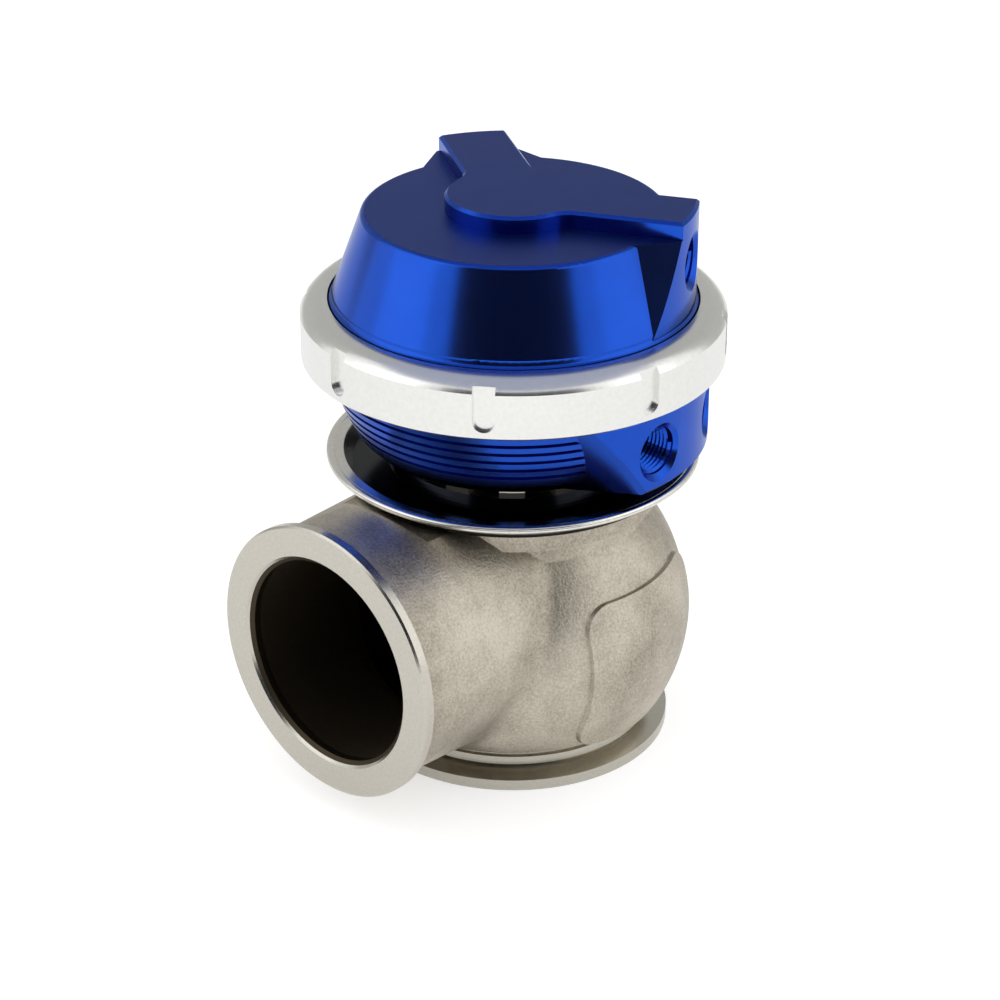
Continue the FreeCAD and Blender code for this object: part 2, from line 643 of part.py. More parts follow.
def lower_housing():
    """Finned bowl with a threaded rim, a port block and the diaphragm's groove."""
    shell = bowl().fuse(port_block()).removeSplitter()
    cavity = revolve([
        (0, FLOOR_Z), (CAVITY_FLOOR_R, FLOOR_Z), (CAVITY_R, THREAD_BOTTOM_Z - CAVITY_SHOULDER),
        (CAVITY_R, CAP_TOP_Z), (0, CAP_TOP_Z),
    ])
    groove_half = BEAD_WIDTH / 2 + FACE_CLEARANCE
    groove = ring(BEAD_R + groove_half, BEAD_R - groove_half, SPLIT_Z - BEAD_HEIGHT, CAP_TOP_Z)
    stem_hole = disc(STEM_R + RUNNING_CLEARANCE, DECK_Z, CAP_TOP_Z)
    seal_hole = disc(STEM_R + ACTUATOR_SEAL_WIDTH + LOCATING_CLEARANCE, FLOOR_Z - ACTUATOR_SEAL_HEIGHT,
                     CAP_TOP_Z)
    cuts = [cavity, groove, stem_hole, seal_hole]
    cuts += screw_holes(DECK_Z, CAP_TOP_Z, SCREW_CLEARANCE)
    for side in (-0.5, 0.5):
        degrees = PORT_BLOCK_ANGLE_DEG + side * PORT_SPACING_DEG
        port_z = HOUSING_BOTTOM_Z + PORT_RISE
        cuts.append(pressure_port(PORT_BLOCK_R, PORT_DEPTH, CAVITY_FLOOR_R, degrees, port_z))
    return shell.cut(cuts)


def actuator_seal():
    """Stem seal in the floor of the lower housing."""
    return ring(STEM_R + ACTUATOR_SEAL_WIDTH, STEM_R + RUNNING_CLEARANCE,
                FLOOR_Z - ACTUATOR_SEAL_HEIGHT, FLOOR_Z)


def diaphragm():
    """Moulded diaphragm: clamped centre, rolling wall and a bead that seals the split."""
    low = DIAPHRAGM_Z + FACE_CLEARANCE
    high = low + DIAPHRAGM
    bead_in = BEAD_R - BEAD_WIDTH / 2
    bead_out = BEAD_R + BEAD_WIDTH / 2
    web_top = CAP_BOTTOM_Z - FACE_CLEARANCE
    web_low = SPLIT_Z + FACE_CLEARANCE
    bead_low = SPLIT_Z - BEAD_HEIGHT + FACE_CLEARANCE
    wall_r = CAVITY_R - DIAPHRAGM_WALL_GAP
    roll_z = web_low - 4 * DIAPHRAGM
    return revolve([
        (STEM_NECK_R + FACE_CLEARANCE, low), (PISTON_R + DIAPHRAGM, low), (wall_r, roll_z),
        (wall_r, web_low), (bead_in, web_low), (bead_in, bead_low), (bead_out, bead_low),
        (bead_out, web_top), (wall_r - DIAPHRAGM, web_top),
        (wall_r - DIAPHRAGM, roll_z + DIAPHRAGM / 2), (PISTON_R + DIAPHRAGM / 2, high),
        (STEM_NECK_R + FACE_CLEARANCE, high),
    ])


def diaphragm_clamp():
    """Plate that clamps the diaphragm against the piston from below."""
    edge_r = PISTON_R - CLAMP_INSET
    return revolve([
        (STEM_NECK_R + LOCATING_CLEARANCE, CLAMP_Z), (edge_r - CLAMP_BEVEL, CLAMP_Z),
        (edge_r, CLAMP_Z + CLAMP_BEVEL), (edge_r, DIAPHRAGM_Z),
        (STEM_NECK_R + LOCATING_CLEARANCE, DIAPHRAGM_Z),
    ])


def piston():
    """Shallow cup above the diaphragm that carries the springs."""
    top_z = PISTON_Z + PISTON_HEIGHT
    return revolve([
        (STEM_NECK_R + LOCATING_CLEARANCE, PISTON_Z), (PISTON_R, PISTON_Z), (PISTON_R, top_z),
        (PISTON_CUP_R, top_z), (PISTON_CUP_R, PISTON_TOP_Z),
        (STEM_NECK_R + LOCATING_CLEARANCE, PISTON_TOP_Z),
    ])


def piston_washer():
    """Washer under the stem nut."""
    return ring(WASHER_R, STEM_NECK_R + LOCATING_CLEARANCE, PISTON_TOP_Z, NUT_Z)


def piston_nut():
    """Nut that holds piston and diaphragm on the stem."""
    return hexagon(NUT_FLATS, NUT_HEIGHT, NUT_Z).cut(disc(STEM_NECK_R + LOCATING_CLEARANCE, 0, REACH))


def spring_radii():
    """Mean radius of each spring, nested from the piston's cup inwards."""
    radii = {}
    room_r = PISTON_CUP_R - SPRING_CUP_GAP
    for name, sizes in SPRINGS.items():
        radii[name] = room_r - sizes["wire_r"]
        room_r = radii[name] - sizes["wire_r"] - SPRING_NEST_GAP
    return radii


def spring(mean_r, wire_r, turns):
    """Round-wire coil spring between the piston and the seat under the cap, as a faceted coil."""
    bottom_z = PISTON_TOP_Z + wire_r + FACE_CLEARANCE
    height = SPRING_TOP_Z - wire_r - FACE_CLEARANCE - bottom_z
    steps = round(turns * SPRING_STEPS)
    sections = []
    for step in range(steps + 1):
        centre_z = bottom_z + height * step / steps
        corners = []
        for side in range(SPRING_SIDES + 1):
            around_wire = 2 * math.pi * side / SPRING_SIDES
            radius = mean_r + wire_r * math.cos(around_wire)
            corners.append(polar(radius, 360.0 * step / SPRING_STEPS,
                                 centre_z + wire_r * math.sin(around_wire)))
        sections.append(Part.makePolygon(corners))
    return Part.makeLoft(sections, True, True)


def spring_seat():
    """Steel washer between the springs and the cap's ceiling."""
    bore_r = spring_radii()["inner_spring"] - SPRINGS["inner_spring"]["wire_r"] - SPRING_SEAT_LIP
    return ring(PISTON_CUP_R, bore_r, SPRING_TOP_Z, CAP_CEILING_Z)


def cap_cone():
    """Turned body of the cap: flange, flared foot, cone and flat face with a rounded edge."""
    slope = math.atan2(CAP_BASE_R - CAP_FACE_R, CAP_FACE_Z - CAP_BASE_Z)
    reach = CAP_EDGE_ROUND * math.tan((math.pi / 2 - slope) / 2)
    round_centre = (CAP_FACE_R - reach, CAP_FACE_Z - CAP_EDGE_ROUND)
    cone_end = (CAP_FACE_R + reach * math.sin(slope), CAP_FACE_Z - reach * math.cos(slope))
    middle = arc_middle(round_centre, CAP_EDGE_ROUND, math.degrees(math.pi / 2 + slope) / 2)
    foot_r = CAP_BASE_R - CAP_FLARE
    foot_z = CAP_BASE_Z + 2 * CAP_FLARE
    return revolve([
        (0, CAP_BOTTOM_Z), (CAP_FLANGE_R, CAP_BOTTOM_Z), (CAP_FLANGE_R, CAP_FLANGE_TOP_Z),
        (CAP_BASE_R, CAP_FLANGE_TOP_Z), (CAP_BASE_R, CAP_BASE_Z),
        ((CAP_BASE_R - 0.7 * CAP_FLARE, CAP_BASE_Z + 0.7 * CAP_FLARE), (foot_r, foot_z)),
        cone_end, (middle, (CAP_FACE_R - reach, CAP_FACE_Z)), (0, CAP_FACE_Z),
    ])


def cap_arm():
    """One arm of the cap along +X: raised bar with a buttress that spreads towards the cap's foot."""
    bar = Part.makeBox(REACH, 2 * ARM_HALF, ARM_HEIGHT, Vector(0, -ARM_HALF, CAP_FACE_Z))
    buttress = Part.makeBox(REACH, 2 * REACH, CAP_FACE_Z - CAP_BASE_Z,
                            Vector(CAP_FACE_R / 2, -REACH, CAP_BASE_Z))
    inside = Vector(CAP_FACE_R, 0, CAP_BASE_Z)
    for side in (-1, 1):
        root = Vector(CAP_FACE_R, side * (ARM_HALF + ARM_ROOT_SPREAD), CAP_FACE_Z)
        end = Vector(ARM_END_R, side * (ARM_HALF + FACE_CLEARANCE), CAP_FACE_Z)
        foot_y = ARM_HALF + ARM_FOOT_SPREAD
        foot = Vector(sphere_side(ARM_END_R, foot_y), side * foot_y, CAP_BASE_Z + ARM_FOOT_RISE)
        buttress = buttress.cut(beyond_plane(root, end, foot, inside))
    blank = disc(ARM_END_R, CAP_BASE_Z, CAP_TOP_Z)
    return bar.common(blank).fuse(buttress.common(blank))


def hub_blend(angle, side):
    """Fillet in the corner between the hub and one side of an arm."""
    centre_v = ARM_HALF + ARM_BLEND_R
    centre_u = sphere_side(HUB_R + ARM_BLEND_R, centre_v)
    points = [Vector(0, 0, CAP_FACE_Z), Vector(centre_u, 0, CAP_FACE_Z),
              Vector(centre_u, side * centre_v, CAP_FACE_Z), Vector(0, 0, CAP_FACE_Z)]
    corner = Part.Face(Part.makePolygon(points)).extrude(Vector(0, 0, ARM_HEIGHT))
    tool = Part.makeCylinder(ARM_BLEND_R, ARM_HEIGHT, Vector(centre_u, side * centre_v, CAP_FACE_Z))
    return turned(corner.cut(tool), angle)


def cap_boss():
    """Raised hub and both arms, with blended corners and a bevelled top edge."""
    parts = [turned(cap_arm(), angle) for angle in ARM_ANGLES_DEG]
    parts += [hub_blend(angle, side) for angle in ARM_ANGLES_DEG for side in (-1, 1)]
    boss = disc(HUB_R, CAP_CEILING_Z, CAP_TOP_Z).fuse(parts).removeSplitter()
    top = max(boss.Faces, key=lambda face: face.CenterOfMass.z)
    return boss.makeChamfer(TOP_BEVEL, top.OuterWire.Edges)


def cap():
    """Cap with its boss, spring chamber and a port in the end of each arm."""
    body = cap_cone().fuse(cap_boss()).removeSplitter()
    cavity = revolve([
        (0, FLOOR_Z), (CAP_CAVITY_R, FLOOR_Z), (CAP_CAVITY_R, CAP_BASE_Z + CAP_SKIRT),
        (CAP_CAVITY_TOP_R, CAP_CEILING_Z), (0, CAP_CEILING_Z),
    ])
    cuts = [cavity]
    for angle in ARM_ANGLES_DEG:
        port_z = CAP_FACE_Z - CAP_PORT_DROP
        cuts.append(pressure_port(ARM_END_R, PORT_DEPTH, CAP_CAVITY_TOP_R, angle, port_z))
    return body.cut(cuts)


def slip_ring():
    """Thin ring that lets the collar turn on the cap's flange."""
    return ring(COLLAR_LIP_R + SLIP_RING_WIDTH, COLLAR_LIP_R, CAP_FLANGE_TOP_Z + FACE_CLEARANCE,
                COLLAR_LIP_Z - FACE_CLEARANCE)


def tool_slot():
    """Slot for a pin spanner, open at the top and round at the bottom."""
    half = TOOL_SLOT / 2
    foot_z = COLLAR_BOTTOM_Z + TOOL_SLOT_RISE + half
    inner_r = COLLAR_R - TOOL_SLOT_DEPTH
    slot = Part.makeBox(TOOL_SLOT, TOOL_SLOT, CAP_TOP_Z - foot_z, Vector(inner_r, -half, foot_z))
    return slot.fuse(radial_cylinder(half, inner_r, inner_r + TOOL_SLOT, 0, foot_z))


def locking_collar():
    """Threaded collar that clamps the cap to the lower housing."""
    chord = Vector(COLLAR_LIP_R - COLLAR_R, 0, COLLAR_TOP_Z - COLLAR_SHOULDER_Z)
    middle = (COLLAR_R + chord.x / 2 + COLLAR_BULGE * chord.z,
              COLLAR_SHOULDER_Z + chord.z / 2 - COLLAR_BULGE * chord.x)
    thread_top_z = SPLIT_Z + COLLAR_RELIEF
    body = revolve([
        (COLLAR_BORE_R, COLLAR_BOTTOM_Z), (COLLAR_R - COLLAR_EDGE, COLLAR_BOTTOM_Z),
        (COLLAR_R, COLLAR_BOTTOM_Z + COLLAR_EDGE), (COLLAR_R, COLLAR_SHOULDER_Z),
        (middle, (COLLAR_LIP_R, COLLAR_TOP_Z)), (COLLAR_LIP_R, COLLAR_LIP_Z),
        (CAP_FLANGE_R + THREAD_CLEARANCE, COLLAR_LIP_Z),
        (CAP_FLANGE_R + THREAD_CLEARANCE, thread_top_z), (COLLAR_BORE_R, thread_top_z),
    ])
    return body.cut(around(tool_slot(), TOOL_SLOTS, TOOL_SLOT_ANGLE_DEG))


PIECES = {
    "valve_body": valve_body,
    "valve_seat": valve_seat,
    "valve": valve,
    "guide_bush": guide_bush,
    "stem_seal": stem_seal,
    "seal_retainer": seal_retainer,
    "shield_gasket": shield_gasket,
    "heat_shield": heat_shield,
    "standoff_ring": standoff_ring,
    "mounting_screws": mounting_screws,
    "lower_housing": lower_housing,
    "actuator_seal": actuator_seal,
    "diaphragm": diaphragm,
    "diaphragm_clamp": diaphragm_clamp,
    "piston": piston,
    "piston_washer": piston_washer,
    "piston_nut": piston_nut,
    "spring_seat": spring_seat,
    "cap": cap,
    "slip_ring": slip_ring,
    "locking_collar": locking_collar,
}


def main():
    """Build every piece and write it to its own STEP file."""
    os.makedirs("parts", exist_ok=True)
    shapes = {name: build() for name, build in PIECES.items()}
    for name, mean_r in spring_radii().items():
        shapes[name] = spring(mean_r, **SPRINGS[name])
    for name, shape in shapes.items():
        shape.exportStep("parts/" + name + ".step")
        print(name, "solids", len(shape.Solids), "valid", shape.isValid(), "volume", round(shape.Volume, 1))


main()
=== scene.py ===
"""Turbo wastegate: finishes, threads, springs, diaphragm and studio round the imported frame."""

import json
import logging
import math
from dataclasses import dataclass
from enum import Enum

import bmesh
import bpy
from mathutils import Matrix, Vector

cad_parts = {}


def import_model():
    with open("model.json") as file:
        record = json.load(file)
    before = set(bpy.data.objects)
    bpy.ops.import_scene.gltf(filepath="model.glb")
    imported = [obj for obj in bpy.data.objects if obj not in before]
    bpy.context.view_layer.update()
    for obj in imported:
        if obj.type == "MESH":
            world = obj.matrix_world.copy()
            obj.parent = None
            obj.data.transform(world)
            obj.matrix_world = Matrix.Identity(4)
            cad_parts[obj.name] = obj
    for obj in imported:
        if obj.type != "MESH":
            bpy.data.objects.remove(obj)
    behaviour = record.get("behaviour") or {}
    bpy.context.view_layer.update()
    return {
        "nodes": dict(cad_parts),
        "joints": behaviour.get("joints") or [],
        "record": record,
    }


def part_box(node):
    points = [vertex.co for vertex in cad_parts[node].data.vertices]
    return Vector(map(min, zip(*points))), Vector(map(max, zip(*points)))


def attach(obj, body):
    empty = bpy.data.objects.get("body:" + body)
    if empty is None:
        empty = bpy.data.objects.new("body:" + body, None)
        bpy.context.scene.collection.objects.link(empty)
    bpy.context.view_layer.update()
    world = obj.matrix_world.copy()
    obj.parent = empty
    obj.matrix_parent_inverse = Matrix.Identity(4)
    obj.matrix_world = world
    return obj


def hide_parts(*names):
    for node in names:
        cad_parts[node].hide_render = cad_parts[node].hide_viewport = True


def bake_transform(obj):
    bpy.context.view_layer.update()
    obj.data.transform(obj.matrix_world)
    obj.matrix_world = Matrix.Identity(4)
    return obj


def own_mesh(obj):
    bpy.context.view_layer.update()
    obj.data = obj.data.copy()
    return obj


log = logging.getLogger("wastegate")

MM = 0.001
FULL_TURN = 2.0 * math.pi
ORIGIN = (0, 0, 0)
UP = (0, 0, 1)

Tree = bpy.types.NodeTree
Node = bpy.types.Node
Socket = bpy.types.NodeSocket
Material = bpy.types.Material
Piece = bpy.types.Object
Shape = bmesh.types.BMesh

MATH = "ShaderNodeMath"
NOISE = "ShaderNodeTexNoise"
SPLIT = "ShaderNodeSeparateXYZ"
PLACE = "ShaderNodeTexCoord"
RAMP = "ShaderNodeValToRGB"
SPAN = "ShaderNodeMapRange"
MIX = "ShaderNodeMix"
BUMP = "ShaderNodeBump"

PLUS = {"operation": "ADD"}
MINUS = {"operation": "SUBTRACT"}
TIMES = {"operation": "MULTIPLY"}
BELOW = {"operation": "LESS_THAN"}
EITHER = {"operation": "MAXIMUM"}
COLOURS = {"data_type": "RGBA"}
SMOOTH = {"interpolation_type": "SMOOTHSTEP"}
# Octaves that give a surface its grain, and stains a more ragged edge.
FINE = {"Detail": 3.0, "Roughness": 0.6}
RAGGED = {"Detail": 4.0, "Roughness": 0.6}


def linear(hex_colour: str) -> tuple[float, float, float, float]:
    """Turn an sRGB hex colour into linear RGBA.

    Args:
        hex_colour: Colour such as "#2a66e0".

    Returns:
        Red, green, blue and alpha as Blender's shader sockets take them.
    """
    parts = [int(hex_colour[start:start + 2], 16) / 255 for start in (1, 3, 5)]
    light = [part / 12.92 if part <= 0.04045 else ((part + 0.055) / 1.055) ** 2.4
             for part in parts]
    return light[0], light[1], light[2], 1.0


def add_node(tree: Tree, kind: str, settings: dict | None = None, **inputs: object) -> Node:
    """Add a node, set its properties and fill or link its inputs.

    Args:
        tree: Node tree that gets the node.
        kind: Node type, such as "ShaderNodeMath".
        settings: Property names and values of the node itself; "stops" holds the positions and
            hex colours of a ramp.
        inputs: Input names, with _ for a space or in0, in1 for a number, and a value, an output
            socket, or a node whose first output is meant.

    Returns:
        The new node.
    """
    node = tree.nodes.new(kind)
    for name, value in (settings or {}).items():
        if name == "stops":
            for element, (position, colour) in zip(node.color_ramp.elements, value):
                element.position = position
                element.color = linear(colour)
        else:
            setattr(node, name, value)
    for name, value in inputs.items():
        if name.startswith("in") and name[2:].isdigit():
            socket = node.inputs[int(name[2:])]
        else:
            socket = node.inputs[name.replace("_", " ")]
        source = value.outputs[0] if isinstance(value, Node) else value
        if isinstance(source, Socket):
            tree.links.new(source, socket)
        else:
            socket.default_value = source
    return node


def new_material(name: str) -> tuple[Material, Tree, Node]:
    """Start a node material with one Principled shader.

    Args:
        name: Name of the material.

    Returns:
        The material, its node tree and its Principled node.
    """
    material = bpy.data.materials.new(name)
    material.use_nodes = True
    return material, material.node_tree, material.node_tree.nodes["Principled BSDF"]


def scale(size_mm: float) -> float:
    """Scale of a noise whose largest features have a real size."""
    return 1000.0 / size_mm


def mottled(dark: str, light: str) -> dict[str, list[tuple[float, str]]]:
    """Settings of a ramp that spreads two hex shades of one surface."""
    return {"stops": [(0.3, dark), (0.7, light)]}


def radius_about(tree: Tree, first: Node | Socket, second: Node | Socket) -> Node:
    """Radius about an axis, from the two coordinates across it.

    Args:
        tree: Node tree that gets the nodes.
        first: One coordinate.
        second: The other coordinate.

    Returns:
        Node whose output is the radius.
    """
    squares = [add_node(tree, MATH, TIMES, in0=side, in1=side) for side in (first, second)]
    total = add_node(tree, MATH, PLUS, in0=squares[0], in1=squares[1])
    return add_node(tree, MATH, {"operation": "SQRT"}, in0=total)


def tool_lines(tree: Tree, across: Node | Socket, pitch_mm: float) -> Node:
    """Waves of a real pitch, such as a cutting tool leaves.

    Args:
        tree: Node tree that gets the nodes.
        across: Coordinate in metres across the lines.
        pitch_mm: Distance from line to line.

    Returns:
        Node whose output runs from -1 to 1.
    """
    phase = add_node(tree, MATH, TIMES, in0=across, in1=FULL_TURN / (pitch_mm * MM))
    return add_node(tree, MATH, {"operation": "SINE"}, in0=phase)


@dataclass(frozen=True)
class CastStainless:
    """Stainless casting, shot blasted all over, with its two V-band flanges turned bright.

    Blasting leaves a dull warm grey skin with fine grain and faint stains, turning leaves pale
    rings, and the passages are coloured nearly black as painted shade.
    """

    name: str
    outlet_z: float
    outlet_bore_r: float
    outlet_back_y: float
    inlet_back_z: float
    chamber_r: float
    chamber_z: float
    skin_dark: str = "#958c7e"
    skin_light: str = "#d6cebe"
    skin_from: float = 0.34
    skin_to: float = 0.62
    turned_dark: str = "#c6c2b7"
    turned_light: str = "#d0ccc2"
    # Painted shade: the passages inside are coloured nearly black for the shade in them.
    passage_shade: str = "#4a4235"
    # Real shot leaves pits of about 0.2 mm and a lathe lines of about 0.15 mm. Both are drawn
    # coarser, as they would not show otherwise.
    grain_mm: float = 0.5
    ring_mm: float = 0.5
    stain_mm: float = 18.0
    wave_mm: float = 9.0
    grain_share: float = 0.45
    stain_share: float = 0.55
    grain_depth_mm: float = 0.09
    ring_depth_mm: float = 0.001
    wave_depth_mm: float = 0.25
    turned_roughness: float = 0.24
    cast_adds: float = 0.11
    grain_adds: float = 0.2
    passage_rough_adds: float = 0.25

    def inside(self, tree: Tree, axes: Node, outlet_r: Node) -> Node:
        """Mask of the chamber and the outlet's bore, where shade is painted.

        Args:
            tree: Node tree that gets the mask.
            axes: Separate XYZ node with the coordinates.
            outlet_r: Radius about the outlet's axis.

        Returns:
            Node whose output is 1 inside the casting.
        """
        x, y, z = axes.outputs
        in_bore = add_node(tree, MATH, BELOW, in0=outlet_r, in1=self.outlet_bore_r)
        front = add_node(tree, MATH, BELOW, in0=y, in1=0.0)
        in_outlet = add_node(tree, MATH, TIMES, in0=in_bore, in1=front)
        drop = add_node(tree, MATH, MINUS, in0=z, in1=self.chamber_z)
        from_middle = add_node(tree, "ShaderNodeCombineXYZ", in0=x, in1=y, in2=drop)
        ball_r = add_node(tree, "ShaderNodeVectorMath", {"operation": "LENGTH"}, in0=from_middle)
        in_chamber = add_node(tree, MATH, BELOW, in0=ball_r.outputs["Value"], in1=self.chamber_r)
        return add_node(tree, MATH, EITHER, in0=in_chamber, in1=in_outlet)

    def colour(self, tree: Tree, spot: Socket, grain: Node, turned: Node, inside: Node) -> Socket:
        """Stained skin, bright flanges and passages in painted shade.

        Args:
            tree: Node tree that gets the colours.
            spot: Coordinates in metres.
            grain: Grain of the blasted skin.
            turned: Mask of the turned flanges.
            inside: Mask of the passages, which get the painted shade.

        Returns:
            Socket with the colour.
        """
        stain = add_node(tree, NOISE, Vector=spot, Scale=scale(self.stain_mm), **RAGGED)
        fine = add_node(tree, MATH, TIMES, in0=grain, in1=self.grain_share)
        wide = add_node(tree, MATH, TIMES, in0=stain, in1=self.stain_share)
        both = add_node(tree, MATH, PLUS, in0=fine, in1=wide)
        stops = [(self.skin_from, self.skin_dark), (self.skin_to, self.skin_light)]
        skin = add_node(tree, RAMP, {"stops": stops}, in0=both)
        rings = add_node(tree, NOISE, Vector=spot, Scale=scale(self.ring_mm), **FINE)
        bright = add_node(tree, RAMP, mottled(self.turned_dark, self.turned_light), in0=rings)
        outside = add_node(tree, MIX, COLOURS, in0=turned, in6=skin, in7=bright).outputs[2]
        # Painted shade in the chamber and the bore.
        passage_shade = linear(self.passage_shade)
        return add_node(tree, MIX, COLOURS, in0=inside, in6=outside, in7=passage_shade).outputs[2]

    def build(self) -> Material:
        """Make the material.

        Returns:
            The finished material.
        """
        material, tree, shader = new_material(self.name)
        spot = add_node(tree, PLACE).outputs["Object"]
        axes = add_node(tree, SPLIT, Vector=spot)
        x, y, z = axes.outputs
        height = add_node(tree, MATH, MINUS, in0=z, in1=self.outlet_z)
        outlet_r = radius_about(tree, x, height)
        outlet_flange = add_node(tree, MATH, BELOW, in0=y, in1=self.outlet_back_y)
        inlet_flange = add_node(tree, MATH, BELOW, in0=z, in1=self.inlet_back_z)
        turned = add_node(tree, MATH, EITHER, in0=outlet_flange, in1=inlet_flange)
        cast = add_node(tree, MATH, MINUS, in0=1.0, in1=turned)
        inside = self.inside(tree, axes, outlet_r)

        grain = add_node(tree, NOISE, Vector=spot, Scale=scale(self.grain_mm), **FINE)
        tree.links.new(self.colour(tree, spot, grain, turned, inside), shader.inputs["Base Color"])
        shader.inputs["Metallic"].default_value = 1.0

        grit = add_node(tree, MATH, TIMES, in0=grain, in1=cast)
        rough = add_node(tree, MATH, TIMES, in0=grit, in1=self.grain_adds)
        rough = add_node(tree, MATH, PLUS, in0=rough, in1=self.turned_roughness)
        for mask, adds in ((cast, self.cast_adds), (inside, self.passage_rough_adds)):
            more = add_node(tree, MATH, TIMES, in0=mask, in1=adds)
            rough = add_node(tree, MATH, PLUS, in0=rough, in1=more)
        tree.links.new(rough.outputs[0], shader.inputs["Roughness"])

        swell = add_node(tree, NOISE, Vector=spot, Scale=scale(self.wave_mm), **FINE)
        swell = add_node(tree, MATH, TIMES, in0=swell, in1=cast)
        waves = add_node(tree, BUMP, Strength=1.0, Distance=self.wave_depth_mm * MM, Height=swell)
        pits = add_node(tree, BUMP, Strength=1.0, Distance=self.grain_depth_mm * MM, Height=grit,
                        Normal=waves)
        rings = tool_lines(tree, outlet_r, self.ring_mm)
        rings = add_node(tree, MATH, TIMES, in0=rings, in1=outlet_flange)
        relief = add_node(tree, BUMP, Strength=1.0, Distance=self.ring_depth_mm * MM,
                          Height=rings, Normal=pits)
        tree.links.new(relief.outputs[0], shader.inputs["Normal"])
        return material


@dataclass(frozen=True)
class BlueAnodised:
    """Aluminium, turned and milled, dyed bright blue in the anodising bath.

    The dye tints the metal's own mirror, so lit flanks are clear blue and dark ones nearly black.
    The milled top faces are blasted first, so they are matt and greyer, and the clear oxide on
    top adds a thin white reflection.
    """

    name: str = "blue_anodised_aluminium"
    deep: str = "#0c48ba"
    light: str = "#0e4ec6"
    top: str = "#203c90"
    edge_tint: str = "#d8e0ee"
    cloud_mm: float = 14.0
    smear_mm: float = 5.0
    # Real tool lines and bead pits are both about 0.1 mm. They are drawn coarser, as they would
    # not show otherwise.
    tool_mm: float = 0.35
    tool_depth_mm: float = 0.0006
    bead_mm: float = 0.5
    bead_depth_mm: float = 0.012
    blasted_from: float = 0.93
    blasted_to: float = 0.99
    turned_roughness: float = 0.17
    blasted_roughness: float = 0.42
    smear_adds: float = 0.05
    oxide_weight: float = 0.25
    oxide_roughness: float = 0.35
    oxide_ior: float = 1.6

    def roughness(self, tree: Tree, spot: Socket, blasted: Node) -> Node:
        """Roughness of turned and blasted faces, with a faint smear.

        Args:
            tree: Node tree that gets the nodes.
            spot: Coordinates in metres.
            blasted: Mask of the blasted faces.

        Returns:
            Node whose output is the roughness.
        """
        smear = add_node(tree, NOISE, Vector=spot, Scale=scale(self.smear_mm), **FINE)
        smear = add_node(tree, MATH, TIMES, in0=smear, in1=self.smear_adds)
        matt = add_node(tree, MATH, TIMES, in0=blasted,
                        in1=self.blasted_roughness - self.turned_roughness)
        both = add_node(tree, MATH, PLUS, in0=matt, in1=smear)
        return add_node(tree, MATH, PLUS, in0=both, in1=self.turned_roughness)

    def relief(self, tree: Tree, spot: Socket, blasted: Node) -> Node:
        """Tool lines round the turned flanks, and bead pits on the blasted faces.

        Args:
            tree: Node tree that gets the nodes.
            spot: Coordinates in metres.
            blasted: Mask of the blasted faces.

        Returns:
            Node whose output is the normal.
        """
        z = add_node(tree, SPLIT, Vector=spot).outputs["Z"]
        lines = tool_lines(tree, z, self.tool_mm)
        unblasted = add_node(tree, MATH, MINUS, in0=1.0, in1=blasted)
        lines = add_node(tree, MATH, TIMES, in0=lines, in1=unblasted)
        turned = add_node(tree, BUMP, Strength=1.0, Distance=self.tool_depth_mm * MM,
                          Height=lines)
        beads = add_node(tree, NOISE, Vector=spot, Scale=scale(self.bead_mm), **FINE)
        beads = add_node(tree, MATH, TIMES, in0=beads, in1=blasted)
        return add_node(tree, BUMP, Strength=1.0, Distance=self.bead_depth_mm * MM, Height=beads,
                        Normal=turned)

    def build(self) -> Material:
        """Make the material.

        Returns:
            The finished material.
        """
        material, tree, shader = new_material(self.name)
        spot = add_node(tree, PLACE).outputs["Object"]
        normal = add_node(tree, "ShaderNodeNewGeometry").outputs["Normal"]
        facing_up = add_node(tree, SPLIT, Vector=normal).outputs["Z"]
        blasted = add_node(tree, SPAN, SMOOTH, Value=facing_up, From_Min=self.blasted_from,
                           From_Max=self.blasted_to)
        cloud = add_node(tree, NOISE, Vector=spot, Scale=scale(self.cloud_mm), **FINE)
        dye = add_node(tree, RAMP, mottled(self.deep, self.light), in0=cloud)
        colour = add_node(tree, MIX, COLOURS, in0=blasted, in6=dye, in7=linear(self.top))
        tree.links.new(colour.outputs[2], shader.inputs["Base Color"])
        rough = self.roughness(tree, spot, blasted)
        tree.links.new(rough.outputs[0], shader.inputs["Roughness"])
        relief = self.relief(tree, spot, blasted)
        tree.links.new(relief.outputs[0], shader.inputs["Normal"])
        shader.inputs["Metallic"].default_value = 1.0
        shader.inputs["Specular Tint"].default_value = linear(self.edge_tint)
        shader.inputs["Coat Weight"].default_value = self.oxide_weight
        shader.inputs["Coat Roughness"].default_value = self.oxide_roughness
        shader.inputs["Coat IOR"].default_value = self.oxide_ior
        return material


class Marks(Enum):
    """How a surface was left by its last operation."""

    TURNED = "turned"
    BLASTED = "blasted"


